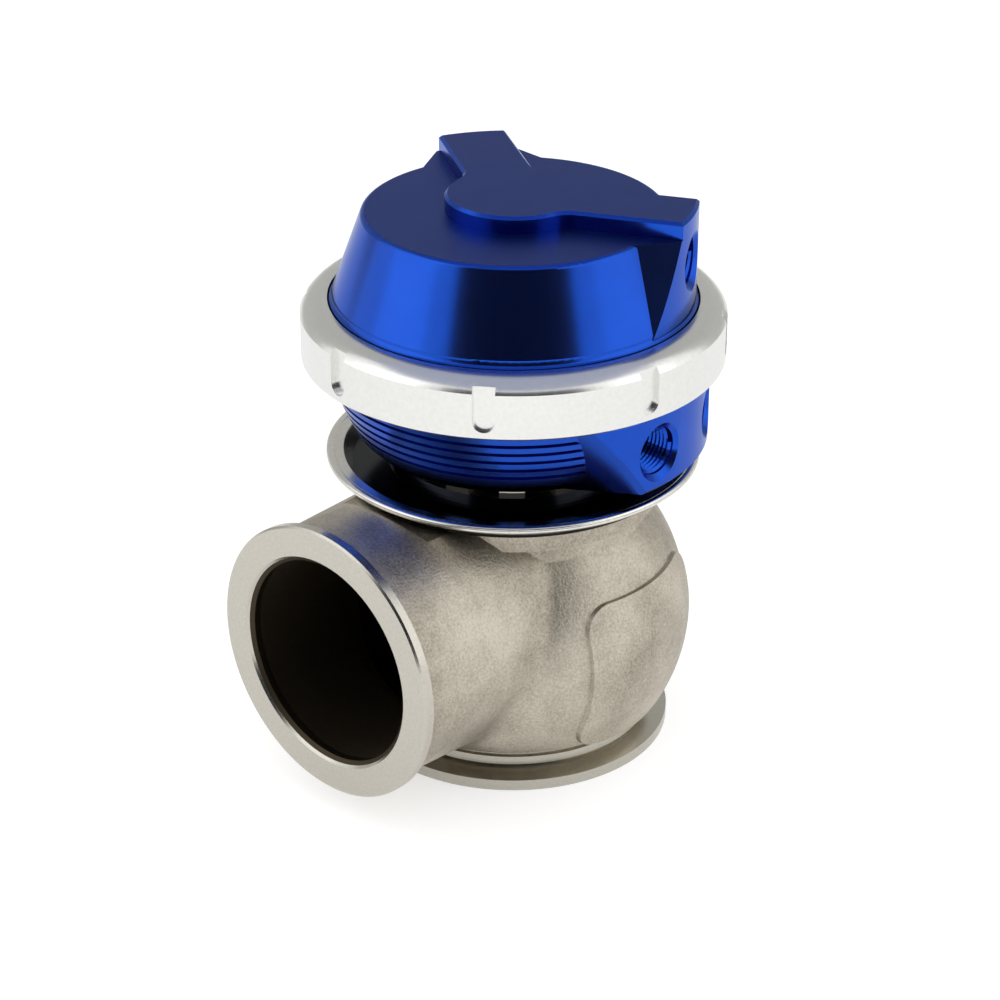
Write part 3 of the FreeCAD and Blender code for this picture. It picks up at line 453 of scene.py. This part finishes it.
@dataclass(frozen=True)
class Metal:
    """Bare or plated metal with a faint cloud and the marks of its last operation."""

    name: str
    dark: str
    light: str
    roughness: float
    marks: Marks = Marks.TURNED
    # The grain and the marks are a few times coarser than real, as they would not show otherwise.
    grain_mm: float = 0.8
    mark_mm: float = 0.4
    mark_depth_mm: float = 0.001
    cloud_mm: float = 6.0
    cloud_adds: float = 0.08

    def shades(self, tree: Tree, spot: Socket) -> Node:
        """Two shades of the metal.

        Args:
            tree: Node tree that gets the nodes.
            spot: Coordinates in metres.

        Returns:
            Node whose output is the colour.
        """
        grain = add_node(tree, NOISE, Vector=spot, Scale=scale(self.grain_mm), **FINE)
        return add_node(tree, RAMP, mottled(self.dark, self.light), in0=grain)

    def relief(self, tree: Tree, spot: Socket) -> Node:
        """Bead pits, or rings about the main axis.

        Args:
            tree: Node tree that gets the relief.
            spot: Coordinates in metres.

        Returns:
            Node whose output is the normal.
        """
        if self.marks is Marks.BLASTED:
            height = add_node(tree, NOISE, Vector=spot, Scale=scale(self.mark_mm), **FINE)
        else:
            x, y, z = add_node(tree, SPLIT, Vector=spot).outputs
            across = add_node(tree, MATH, PLUS, in0=radius_about(tree, x, y), in1=z)
            height = tool_lines(tree, across, self.mark_mm)
        return add_node(tree, BUMP, Strength=1.0, Distance=self.mark_depth_mm * MM, Height=height)

    def build(self) -> Material:
        """Make the material.

        Returns:
            The finished material.
        """
        material, tree, shader = new_material(self.name)
        spot = add_node(tree, PLACE).outputs["Object"]
        tree.links.new(self.shades(tree, spot).outputs[0], shader.inputs["Base Color"])
        shader.inputs["Metallic"].default_value = 1.0
        cloud = add_node(tree, NOISE, Vector=spot, Scale=scale(self.cloud_mm), **FINE)
        cloud = add_node(tree, MATH, TIMES, in0=cloud, in1=self.cloud_adds)
        rough = add_node(tree, MATH, PLUS, in0=cloud, in1=self.roughness - 0.5 * self.cloud_adds)
        tree.links.new(rough.outputs[0], shader.inputs["Roughness"])
        tree.links.new(self.relief(tree, spot).outputs[0], shader.inputs["Normal"])
        return material


@dataclass(frozen=True)
class BlackAndBareMetal:
    """Stainless steel coloured near black, bare again at its rim or its foot.

    The black still mirrors. The bare foot is blasted, so it scatters light almost like chalk.
    """

    name: str
    bare: Metal
    black: str
    black_roughness: float
    # Heights and radii in metres. The radii that stand here lie outside every part.
    bare_below_z: float = 0.0
    bare_from_r: float = 1.0
    bare_to_r: float = 2.0
    chalkiness: float = 0.8

    def build(self) -> Material:
        """Make the material.

        Returns:
            The finished material.
        """
        material, tree, shader = new_material(self.name)
        spot = add_node(tree, PLACE).outputs["Object"]
        x, y, z = add_node(tree, SPLIT, Vector=spot).outputs
        rim = add_node(tree, SPAN, SMOOTH, Value=radius_about(tree, x, y),
                       From_Min=self.bare_from_r, From_Max=self.bare_to_r)
        foot = add_node(tree, MATH, BELOW, in0=z, in1=self.bare_below_z)
        bare = add_node(tree, MATH, EITHER, in0=rim, in1=foot)
        colour = add_node(tree, MIX, COLOURS, in0=bare, in6=linear(self.black),
                          in7=self.bare.shades(tree, spot))
        tree.links.new(colour.outputs[2], shader.inputs["Base Color"])
        chalk = add_node(tree, MATH, TIMES, in0=foot, in1=self.chalkiness)
        mirror = add_node(tree, MATH, MINUS, in0=1.0, in1=chalk)
        tree.links.new(mirror.outputs[0], shader.inputs["Metallic"])
        more = add_node(tree, MATH, TIMES, in0=bare,
                        in1=self.bare.roughness - self.black_roughness)
        rough = add_node(tree, MATH, PLUS, in0=self.black_roughness, in1=more)
        tree.links.new(rough.outputs[0], shader.inputs["Roughness"])
        tree.links.new(self.bare.relief(tree, spot).outputs[0], shader.inputs["Normal"])
        return material


@dataclass(frozen=True)
class MouldedCompound:
    """Non-metal: moulded rubber, pressed graphite, fibre board or acetal, with a fine skin."""

    name: str
    dark: str
    light: str
    roughness: float
    ior: float
    # A few times coarser than the real skin, which would not show.
    grain_mm: float
    grain_depth_mm: float

    def build(self) -> Material:
        """Make the material.

        Returns:
            The finished material.
        """
        material, tree, shader = new_material(self.name)
        spot = add_node(tree, PLACE).outputs["Object"]
        grain = add_node(tree, NOISE, Vector=spot, Scale=scale(self.grain_mm), **FINE)
        shades = add_node(tree, RAMP, mottled(self.dark, self.light), in0=grain)
        tree.links.new(shades.outputs[0], shader.inputs["Base Color"])
        shader.inputs["Roughness"].default_value = self.roughness
        shader.inputs["IOR"].default_value = self.ior
        relief = add_node(tree, BUMP, Strength=1.0, Distance=self.grain_depth_mm * MM,
                          Height=grain)
        tree.links.new(relief.outputs[0], shader.inputs["Normal"])
        return material


@dataclass(frozen=True)
class FinishEdges:
    """Where one finish of a part gives way to another, measured from the part's own edges."""

    bore_clear_mm: float = 0.7
    outlet_flange_mm: float = 2.7
    above_inlet_flange_mm: float = 2.9
    chamber_r_mm: float = 32.6
    chamber_z_mm: float = 26.0
    rim_starts_mm: float = 3.7
    rim_full_mm: float = 3.3
    lug_mm: float = 1.62

    def casting(self, outlet: dict) -> CastStainless:
        """Finish of the casting.

        Args:
            outlet: The record's mount for the outlet's bore.

        Returns:
            The finish, fitted to the bore, the two flanges and the chamber.
        """
        return CastStainless(
            "cast_stainless_steel", outlet_z=outlet["pos_m"][2],
            outlet_bore_r=(outlet["dims"]["r_mm"] + self.bore_clear_mm) * MM,
            outlet_back_y=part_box("valve_body")[0][1] + self.outlet_flange_mm * MM,
            inlet_back_z=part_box("valve_seat")[1][2] - self.above_inlet_flange_mm * MM,
            chamber_r=self.chamber_r_mm * MM, chamber_z=self.chamber_z_mm * MM)

    def heat_shield(self) -> BlackAndBareMetal:
        """Spun sheet: a dish coloured near black as painted shade, with a rim polished like a
        mirror.

        Returns:
            The finish, fitted to the edge.
        """
        edge_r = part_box("heat_shield")[1][0]
        # Painted shade: the dish's near black stands for the dark housing that it mirrors.
        return BlackAndBareMetal(
            "polished_heat_shield_steel", Metal("polished", "#d9d7d0", "#eceae4", 0.14),
            "#1b1d22", 0.16, bare_from_r=edge_r - self.rim_starts_mm * MM,
            bare_to_r=edge_r - self.rim_full_mm * MM)

    def standoff_ring(self) -> BlackAndBareMetal:
        """Turned ring: satin black above, with blasted lugs below that are painted pale as painted
        light.

        Returns:
            The finish, fitted to the foot.
        """
        # Painted light: the lugs' bare steel is paler than steel, to show them lit in the shade
        # under the dish.
        lug = Metal("bare", "#ece4d0", "#f4eedf", 0.7, Marks.BLASTED, mark_depth_mm=0.01)
        return BlackAndBareMetal("standoff_ring_steel", lug, "#101014", 0.4,
                              bare_below_z=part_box("standoff_ring")[0][2] + self.lug_mm * MM)


def finishes(frame: dict) -> dict[str, object]:
    """Finish of each material slot, fitted to the places that the frame gives.


    Returns:
        Finish by material slot.
    """
    outlet = next(mount for mount in frame["record"]["mounts"] if mount["name"] == "outlet_bore")
    edges = FinishEdges()
    return {
        "cast_stainless": edges.casting(outlet),
        "polished_stainless": edges.heat_shield(),
        "standoff_steel": edges.standoff_ring(),
        "blue_anodised": BlueAnodised(),
        # Stainless bar, turned bright: fine rings in a clear but soft mirror.
        "machined_stainless": Metal("turned_stainless_steel", "#b8b4aa", "#d6d3ca", 0.3),
        # Aluminium, turned and clear anodised: nearly white and silky, with fine tool lines.
        "clear_aluminium": Metal("clear_anodised_aluminium", "#e9e9e6", "#f0f0ed", 0.24),
        # Forged valve steel, turned and then scaled by heat: dull brown grey.
        "valve_steel": Metal("heat_resisting_valve_steel", "#6f675c", "#8f877b", 0.4),
        # Bronze bar, turned and bored: dull golden brown.
        "bronze": Metal("aluminium_bronze", "#8a6a3a", "#b08a50", 0.4),
        # Steel screws, zinc plated: pale grey and satin.
        "screw_steel": Metal("zinc_plated_steel", "#a8a8a8", "#c4c4c4", 0.3),
        # Spring wire, coiled and shot peened: dark grey with dull pits.
        "spring_steel": Metal("shot_peened_spring_steel", "#5c5e62", "#7c7e82", 0.45,
                              Marks.BLASTED, mark_mm=0.3, mark_depth_mm=0.01),
        # Graphite, pressed into a ring: black with a soft sheen.
        "graphite": MouldedCompound("pressed_graphite", "#1a1a1a", "#2a2a2a", 0.55, ior=1.6,
                                    grain_mm=0.3, grain_depth_mm=0.01),
        # Fibre board, cut to shape: nearly black, dull and slightly rough.
        "gasket_board": MouldedCompound("insulating_gasket_board", "#20201e", "#34332f", 0.9,
                                        ior=1.45, grain_mm=0.5, grain_depth_mm=0.04),
        # Silicone rubber, moulded: dark brown with a soft sheen.
        "silicone": MouldedCompound("moulded_silicone_rubber", "#3a2a22", "#46342a", 0.6,
                                    ior=1.41, grain_mm=0.4, grain_depth_mm=0.01),
        # Acetal, turned from bar: black and smooth.
        "black_polymer": MouldedCompound("black_acetal", "#08080a", "#101012", 0.5, ior=1.48,
                                         grain_mm=0.5, grain_depth_mm=0.004),
    }


def wind(section: list[tuple[float, float, float]], pitch: float, turns: int,
         steps: int) -> Shape:
    """Wind a flat section up a helix about the main axis.

    Args:
        section: Corners of the section, in metres.
        pitch: Rise of one turn.
        turns: Number of turns.
        steps: Steps in one turn.

    Returns:
        The wound shape.
    """
    shape = bmesh.new()
    profile = shape.faces.new([shape.verts.new(corner) for corner in section])
    bmesh.ops.spin(shape, geom=[profile], cent=ORIGIN, axis=UP, dvec=(0, 0, pitch / steps),
                   angle=turns * FULL_TURN, steps=turns * steps, use_merge=False,
                   use_duplicate=False)
    bmesh.ops.recalc_face_normals(shape, faces=shape.faces)
    return shape


def turn_ring(section: list[tuple[float, float]], steps: int) -> Shape:
    """Spin a closed section once round the main axis.

    Args:
        section: Radii and heights of its corners, in metres.
        steps: Steps in the turn.

    Returns:
        The closed ring.
    """
    shape = bmesh.new()
    corners = [shape.verts.new((radius, 0.0, height)) for radius, height in section]
    edges = [shape.edges.new(pair) for pair in zip(corners, corners[1:] + corners[:1])]
    bmesh.ops.spin(shape, geom=corners + edges, cent=ORIGIN, axis=UP, angle=FULL_TURN,
                   steps=steps, use_merge=True)
    bmesh.ops.recalc_face_normals(shape, faces=shape.faces)
    return shape


def new_object(name: str, shape: Shape, material: Material) -> Piece:
    """Turn a finished bmesh into an object at the origin.

    Args:
        name: Name of the object.
        shape: Its mesh in metres, in place; it is freed.
        material: Its finish.

    Returns:
        The new object.
    """
    mesh = bpy.data.meshes.new(name)
    shape.to_mesh(mesh)
    shape.free()
    mesh.materials.append(material)
    made = bpy.data.objects.new(name, mesh)
    bpy.context.scene.collection.objects.link(made)
    log.info("%s built, %d faces", name, len(mesh.polygons))
    return made


def new_piece(name: str, shape: Shape, material: Material, body: str | None) -> Piece:
    """Turn a finished bmesh into a piece, riding on a body if one is given.

    Args:
        name: Name of the piece.
        shape: Its mesh in metres, in place; it is freed.
        material: Its finish.
        body: CAD body that carries it, or None to leave it on no body.

    Returns:
        The new piece.
    """
    piece = new_object(name, shape, material)
    if body is not None:
        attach(piece, body)
    return piece


@dataclass
class PortThread:
    """Pipe thread in a pressure port: a ridge wound down the bore, 27 turns to the inch."""

    mount: dict
    body: str
    pitch_mm: float = 25.4 / 27.0
    ridge_mm: float = 0.55
    gap_mm: float = 0.02
    crest_share: float = 0.5
    head_share: float = 0.98
    steps: int = 36

    def build(self, material: Material) -> Piece:
        """Wind the ridge and set it in its port.

        Args:
            material: Finish of the part that the port is cut in.

        Returns:
            The thread's object.
        """
        radius = (self.mount["dims"]["r_mm"] - self.gap_mm) * MM
        pitch = self.pitch_mm * MM
        length = self.mount["dims"]["length_mm"] * MM
        turns = math.floor((length - 0.5 * pitch) / pitch)
        section = [(radius, 0, 0), (radius - self.ridge_mm * MM, 0, self.crest_share * pitch),
                   (radius, 0, self.head_share * pitch)]
        shape = wind(section, pitch, turns, self.steps)
        axis = Vector(self.mount["axis"])
        start = Vector(self.mount["pos_m"]) - axis * (length / 2)
        turn = axis.to_track_quat("Z", "Y").to_matrix().to_4x4()
        shape.transform(Matrix.Translation(start) @ turn)
        return new_piece(self.mount["name"] + "_thread", shape, material, self.body)


@dataclass
class RimThread:
    """Thread on the lower housing's rim that the locking collar runs on."""

    rim_mm: float = 6.1
    ridge_mm: float = 0.22
    root_mm: float = 0.01
    pitch_mm: float = 1.5
    crest_share: float = 0.5
    head_share: float = 0.96
    steps: int = 96

    def build(self, material: Material) -> Piece:
        """Wind the ridge round the rim.

        Args:
            material: Finish of the lower housing.

        Returns:
            The thread's object.
        """
        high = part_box("lower_housing")[1]
        radius = high[0] - self.root_mm * MM
        pitch = self.pitch_mm * MM
        rim = self.rim_mm * MM
        turns = math.floor(rim / pitch) - 1
        start = high[2] - rim + 0.5 * pitch
        section = [(radius, 0, start),
                   (radius + self.ridge_mm * MM, 0, start + self.crest_share * pitch),
                   (radius, 0, start + self.head_share * pitch)]
        shape = wind(section, pitch, turns, self.steps)
        return new_piece("rim_thread", shape, material, "housing")


@dataclass
class RolledRim:
    """Rolled bead round the heat shield's edge, which stiffens the thin sheet."""

    width_mm: float = 1.7
    rise_mm: float = 0.4
    sunk_mm: float = 0.2
    lap_mm: float = 0.02
    arc_steps: int = 10
    steps: int = 192

    def build(self, material: Material) -> Piece:
        """Spin the bead's arc round the shield.

        Args:
            material: Bright finish of the rim.

        Returns:
            The bead's object.
        """
        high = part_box("heat_shield")[1]
        half = 0.5 * self.width_mm * MM
        middle = high[0] + self.lap_mm * MM - half
        foot = high[2] - self.sunk_mm * MM
        crest = (self.sunk_mm + self.rise_mm) * MM
        turns = [math.pi * step / self.arc_steps for step in range(self.arc_steps + 1)]
        arc = [(middle + half * math.cos(turn), foot + crest * math.sin(turn)) for turn in turns]
        shape = turn_ring(arc, self.steps)
        for face in shape.faces:
            face.smooth = True
        return new_piece("shield_rolled_rim", shape, material, "housing")


@dataclass
class CoilSpring:
    """Round-wire coil spring between piston and cap."""

    node: str
    wire_r_mm: float
    turns: int
    wire_sides: int = 16
    steps: int = 48

    def build(self, material: Material, travel: float) -> Piece:
        """Wind the wire between the spring's two ends.

        Args:
            material: Finish of the wire.
            travel: How far the piston moves up at the valve's limit; not used.

        Returns:
            The spring's object.
        """
        low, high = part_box(self.node)
        wire_r = self.wire_r_mm * MM
        mean_r = high[0] - wire_r
        height = high[2] - low[2]
        turns = [FULL_TURN * side / self.wire_sides for side in range(self.wire_sides)]
        section = [(mean_r + wire_r * math.cos(turn), 0.0,
                    low[2] + wire_r + wire_r * math.sin(turn)) for turn in turns]
        shape = wind(section, (height - 2.0 * wire_r) / self.turns, self.turns, self.steps)
        for face in shape.faces:
            face.smooth = len(face.verts) == 4
        piece = new_piece(self.node + "_coil", shape, material, "cap_group")
        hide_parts(self.node)
        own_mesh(piece)
        return piece


@dataclass
class RollingDiaphragm:
    """Moulded diaphragm: a bead at the housing's split, a centre on the piston and a rolling wall.
    """

    web_mm: float = 0.8
    gap_mm: float = 0.05
    bead_mm: float = 2.4
    bead_drop_mm: float = 1.9
    wall_inset_mm: float = 2.2
    roll_drop_mm: float = 3.2
    wall_steps: int = 12
    steps: int = 96

    def wall(self, first: tuple[float, float],
             last: tuple[float, float]) -> list[tuple[float, float]]:
        """Points along one face of the rolling wall.

        Args:
            first: Radius and height at its start.
            last: Radius and height at its end.

        Returns:
            Radii and heights, both ends included.
        """
        shares = [step / self.wall_steps for step in range(self.wall_steps + 1)]
        return [(first[0] + (last[0] - first[0]) * share,
                 first[1] + (last[1] - first[1]) * share) for share in shares]

    def build(self, material: Material, node: Piece) -> Piece:
        """Spin the diaphragm's section round the main axis.

        Args:
            material: Finish of the rubber.
            node: The CAD solid that it stands for.

        Returns:
            The diaphragm's object.
        """
        low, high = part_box("diaphragm")
        split_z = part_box("lower_housing")[1][2]
        piston_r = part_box("piston")[1][0]
        hole_r = min(vertex.co.xy.length for vertex in node.data.vertices)
        web = self.web_mm * MM
        gap = self.gap_mm * MM
        bead_out = high[0]
        bead_in = bead_out - self.bead_mm * MM
        bead_low = split_z - self.bead_drop_mm * MM + gap
        wall_r = bead_in - self.wall_inset_mm * MM
        web_low = split_z + gap
        roll_z = web_low - self.roll_drop_mm * MM
        section = [(hole_r, low[2])]
        section += self.wall((piston_r + web, low[2]), (wall_r, roll_z))
        section += [(wall_r, web_low), (bead_in, web_low), (bead_in, bead_low),
                    (bead_out, bead_low), (bead_out, high[2]), (wall_r - web, high[2])]
        section += self.wall((wall_r - web, roll_z + 0.5 * web),
                             (piston_r + 0.5 * web, low[2] + web))
        section.append((hole_r, low[2] + web))
        shape = turn_ring(section, self.steps)
        piece = new_piece("rolling_diaphragm", shape, material, None)
        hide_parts("diaphragm")
        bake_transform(piece)
        return piece


@dataclass(frozen=True)
class Card:
    """Curved matt card round the object; angles run from the camera, positive to its right."""

    name: str
    grey: str
    first_deg: float
    last_deg: float
    low_deg: float
    high_deg: float
    distance: float = 1.3
    rise_steps: int = 8
    turn_steps: int = 24


@dataclass(frozen=True)
class SoftBox:
    """Rectangular soft box; at a radiance of 1 its face is as bright as a white wall."""

    name: str
    offset_deg: float
    elevation_deg: float
    width: float
    height: float
    radiance: float
    mirrored: bool = True
    distance: float = 0.9


@dataclass
class Studio:
    """White tent: a dark opening round the camera, a grey rear wall, a pale blue ceiling, two
    soft boxes at the sides and a small one in front that metal doesn't mirror.
    """

    azimuth_deg: float = 43.4
    elevation_deg: float = 27.2
    roll_deg: float = 0.15
    lens: float = 100.2
    eye: tuple[float, float, float] = (0.3444, -0.36796, 0.30799)
    aim_z: float = 0.06
    matt: float = 0.9
    floor_half: float = 6.0
    floor_grey: str = "#cccccc"
    # What the grey floor lacks to white, for metal, and on top of it for the camera.
    floor_glow: float = 0.3
    camera_glow: float = 0.2
    cards: tuple[Card, ...] = (
        Card("dark_opening", "#2b2e34", first_deg=-40, last_deg=40, low_deg=-10, high_deg=48),
        Card("grey_rear_wall", "#c6c6c3", first_deg=115, last_deg=245, low_deg=-2, high_deg=58),
        Card("pale_blue_ceiling", "#b9bfd8", first_deg=0, last_deg=360, low_deg=54, high_deg=90),
    )
    boxes: tuple[SoftBox, ...] = (
        SoftBox("left_soft_box", -75, 25, width=0.6, height=0.8, radiance=0.4),
        SoftBox("right_soft_box", 75, 25, width=0.6, height=0.8, radiance=0.3),
        SoftBox("front_fill", 0, 12, width=0.3, height=0.3, radiance=12.0, mirrored=False),
    )

    def towards(self, offset_deg: float, elevation_deg: float) -> Vector:
        """Direction from the object.

        Args:
            offset_deg: Angle from the camera, positive to its right.
            elevation_deg: Height above the horizon.

        Returns:
            Unit vector.
        """
        azimuth = math.radians(self.azimuth_deg + offset_deg)
        elevation = math.radians(elevation_deg)
        return Vector((math.sin(azimuth) * math.cos(elevation),
                       -math.cos(azimuth) * math.cos(elevation), math.sin(elevation)))

    def camera(self) -> None:
        """Set the camera at the eye, looking along its azimuth and elevation."""
        data = bpy.data.cameras.new("camera")
        data.lens = self.lens
        data.sensor_width = 36.0
        data.clip_start = 0.01
        data.clip_end = 20.0
        camera = bpy.data.objects.new("camera", data)
        bpy.context.scene.collection.objects.link(camera)
        look = (-self.towards(0, self.elevation_deg)).to_track_quat("-Z", "Y")
        roll = Matrix.Rotation(math.radians(self.roll_deg), 3, "Z").to_quaternion()
        camera.rotation_mode = "QUATERNION"
        camera.rotation_quaternion = look @ roll
        camera.location = self.eye
        bpy.context.scene.camera = camera

    def stage_piece(self, name: str, shape: Shape, material: Material) -> Piece:
        """Turn a finished bmesh into an object of the studio.

        Args:
            name: Name of the piece.
            shape: Its mesh in metres; it is freed.
            material: Its material.

        Returns:
            The new object.
        """
        piece = new_object(name, shape, material)
        return piece

    def floor(self) -> None:
        """Lay the paper floor, white to the camera and the metal; it keeps the shadow."""
        shape = bmesh.new()
        bmesh.ops.create_grid(shape, x_segments=1, y_segments=1, size=self.floor_half)
        material, tree, shader = new_material("white_paper_floor")
        shader.inputs["Base Color"].default_value = linear(self.floor_grey)
        shader.inputs["Roughness"].default_value = self.matt
        rays = add_node(tree, "ShaderNodeLightPath").outputs
        mirrored = add_node(tree, MATH, EITHER, in0=rays["Is Glossy Ray"],
                            in1=rays["Is Transmission Ray"])
        seen = add_node(tree, MATH, EITHER, in0=rays["Is Camera Ray"], in1=mirrored)
        glow = add_node(tree, MATH, TIMES, in0=seen, in1=self.floor_glow)
        more = add_node(tree, MATH, TIMES, in0=rays["Is Camera Ray"], in1=self.camera_glow)
        total = add_node(tree, MATH, PLUS, in0=glow, in1=more)
        shader.inputs["Emission Color"].default_value = linear("#ffffff")
        tree.links.new(total.outputs[0], shader.inputs["Emission Strength"])
        self.stage_piece("studio_floor", shape, material)

    def hang_card(self, card: Card) -> None:
        """Hang a curved card round the object, out of the camera's sight.

        Args:
            card: Its colour, angles and distance.
        """
        shape = bmesh.new()
        rise_deg = card.high_deg - card.low_deg
        turn_deg = card.last_deg - card.first_deg
        column = [shape.verts.new(card.distance * self.towards(
            card.first_deg, card.low_deg + rise_deg * step / card.rise_steps))
            for step in range(card.rise_steps + 1)]
        edges = [shape.edges.new(pair) for pair in zip(column, column[1:])]
        bmesh.ops.spin(shape, geom=column + edges, cent=ORIGIN, axis=UP,
                       angle=math.radians(turn_deg), steps=card.turn_steps,
                       use_merge=turn_deg == 360)
        material, _, shader = new_material(card.name)
        shader.inputs["Base Color"].default_value = linear(card.grey)
        shader.inputs["Roughness"].default_value = self.matt
        shader.inputs["Specular IOR Level"].default_value = 0.0
        hung = self.stage_piece(card.name, shape, material)
        hung.visible_camera = False
        hung.visible_diffuse = False
        hung.visible_shadow = False

    def hang_box(self, box: SoftBox) -> None:
        """Hang a soft box round the object.

        Args:
            box: Its place, size and brightness, and whether metal shows it.
        """
        back = self.towards(box.offset_deg, box.elevation_deg)
        data = bpy.data.lights.new(box.name, "AREA")
        data.shape = "RECTANGLE"
        data.size = box.width
        data.size_y = box.height
        data.energy = box.radiance * math.pi * box.width * box.height
        lamp = bpy.data.objects.new(box.name, data)
        lamp.rotation_mode = "QUATERNION"
        lamp.rotation_quaternion = (-back).to_track_quat("-Z", "Y")
        lamp.location = Vector((0, 0, self.aim_z)) + back * box.distance
        lamp.visible_glossy = box.mirrored
        bpy.context.scene.collection.objects.link(lamp)
        log.info("%s hung", box.name)

    def world(self) -> None:
        """Plain white walls all round, seen alike by the camera, the metal and matt surfaces."""
        world = bpy.data.worlds.new("studio_world")
        bpy.context.scene.world = world
        world.use_nodes = True
        tree = world.node_tree
        tree.nodes.clear()
        white = add_node(tree, "ShaderNodeBackground", Color=linear("#ffffff"), Strength=1.0)
        add_node(tree, "ShaderNodeOutputWorld", Surface=white)

    def build(self) -> None:
        """Make camera, floor, cards, lamps and world."""
        self.camera()
        self.floor()
        for card in self.cards:
            self.hang_card(card)
        for box in self.boxes:
            self.hang_box(box)
        self.world()


def dress_frame(frame: dict) -> dict[str, Material]:
    """Give every CAD node the finish of its material slot.


    Returns:
        The materials by slot.
    """
    looks = finishes(frame)
    slots = {part["node"]: part["material_slot"] for part in frame["record"]["subparts"]}
    # The ring is turned stainless as its slot says, but this one is coloured near black above its
    # lugs.
    slots["standoff_ring"] = "standoff_steel"
    made: dict[str, Material] = {}
    for name, node in frame["nodes"].items():
        key = slots[name]
        if key not in made:
            made[key] = looks[key].build()
        node.data.materials.clear()
        node.data.materials.append(made[key])
        log.info("%s dressed in %s", name, made[key].name)
    return made


def main() -> None:
    """Build the dressed wastegate and its studio."""
    logging.basicConfig(level=logging.INFO)
    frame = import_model()
    bpy.context.scene.view_settings.view_transform = "Standard"
    made = dress_frame(frame)
    bodies = {"housing_port_a": "housing", "housing_port_b": "housing",
              "cap_port_a": "cap_group", "cap_port_b": "cap_group"}
    for mount in frame["record"]["mounts"]:
        if mount["name"] in bodies:
            PortThread(mount, bodies[mount["name"]]).build(made["blue_anodised"])
    RimThread().build(made["blue_anodised"])
    travel = next(joint["range_m"][1] for joint in frame["joints"]
                  if joint["name"] == "valve_lift")
    for spring in (CoilSpring("outer_spring", wire_r_mm=1.5, turns=4),
                   CoilSpring("middle_spring", wire_r_mm=1.25, turns=5),
                   CoilSpring("inner_spring", wire_r_mm=1.05, turns=6)):
        spring.build(made["spring_steel"], travel)
    RollingDiaphragm().build(made["silicone"], frame["nodes"]["diaphragm"])
    # Stainless sheet edge, rolled and polished: a bright, nearly white line.
    RolledRim().build(Metal("polished_rim_steel", "#e2e0da", "#f0eee8", 0.18).build())
    Studio().build()


if __name__ == "__main__":
    main()
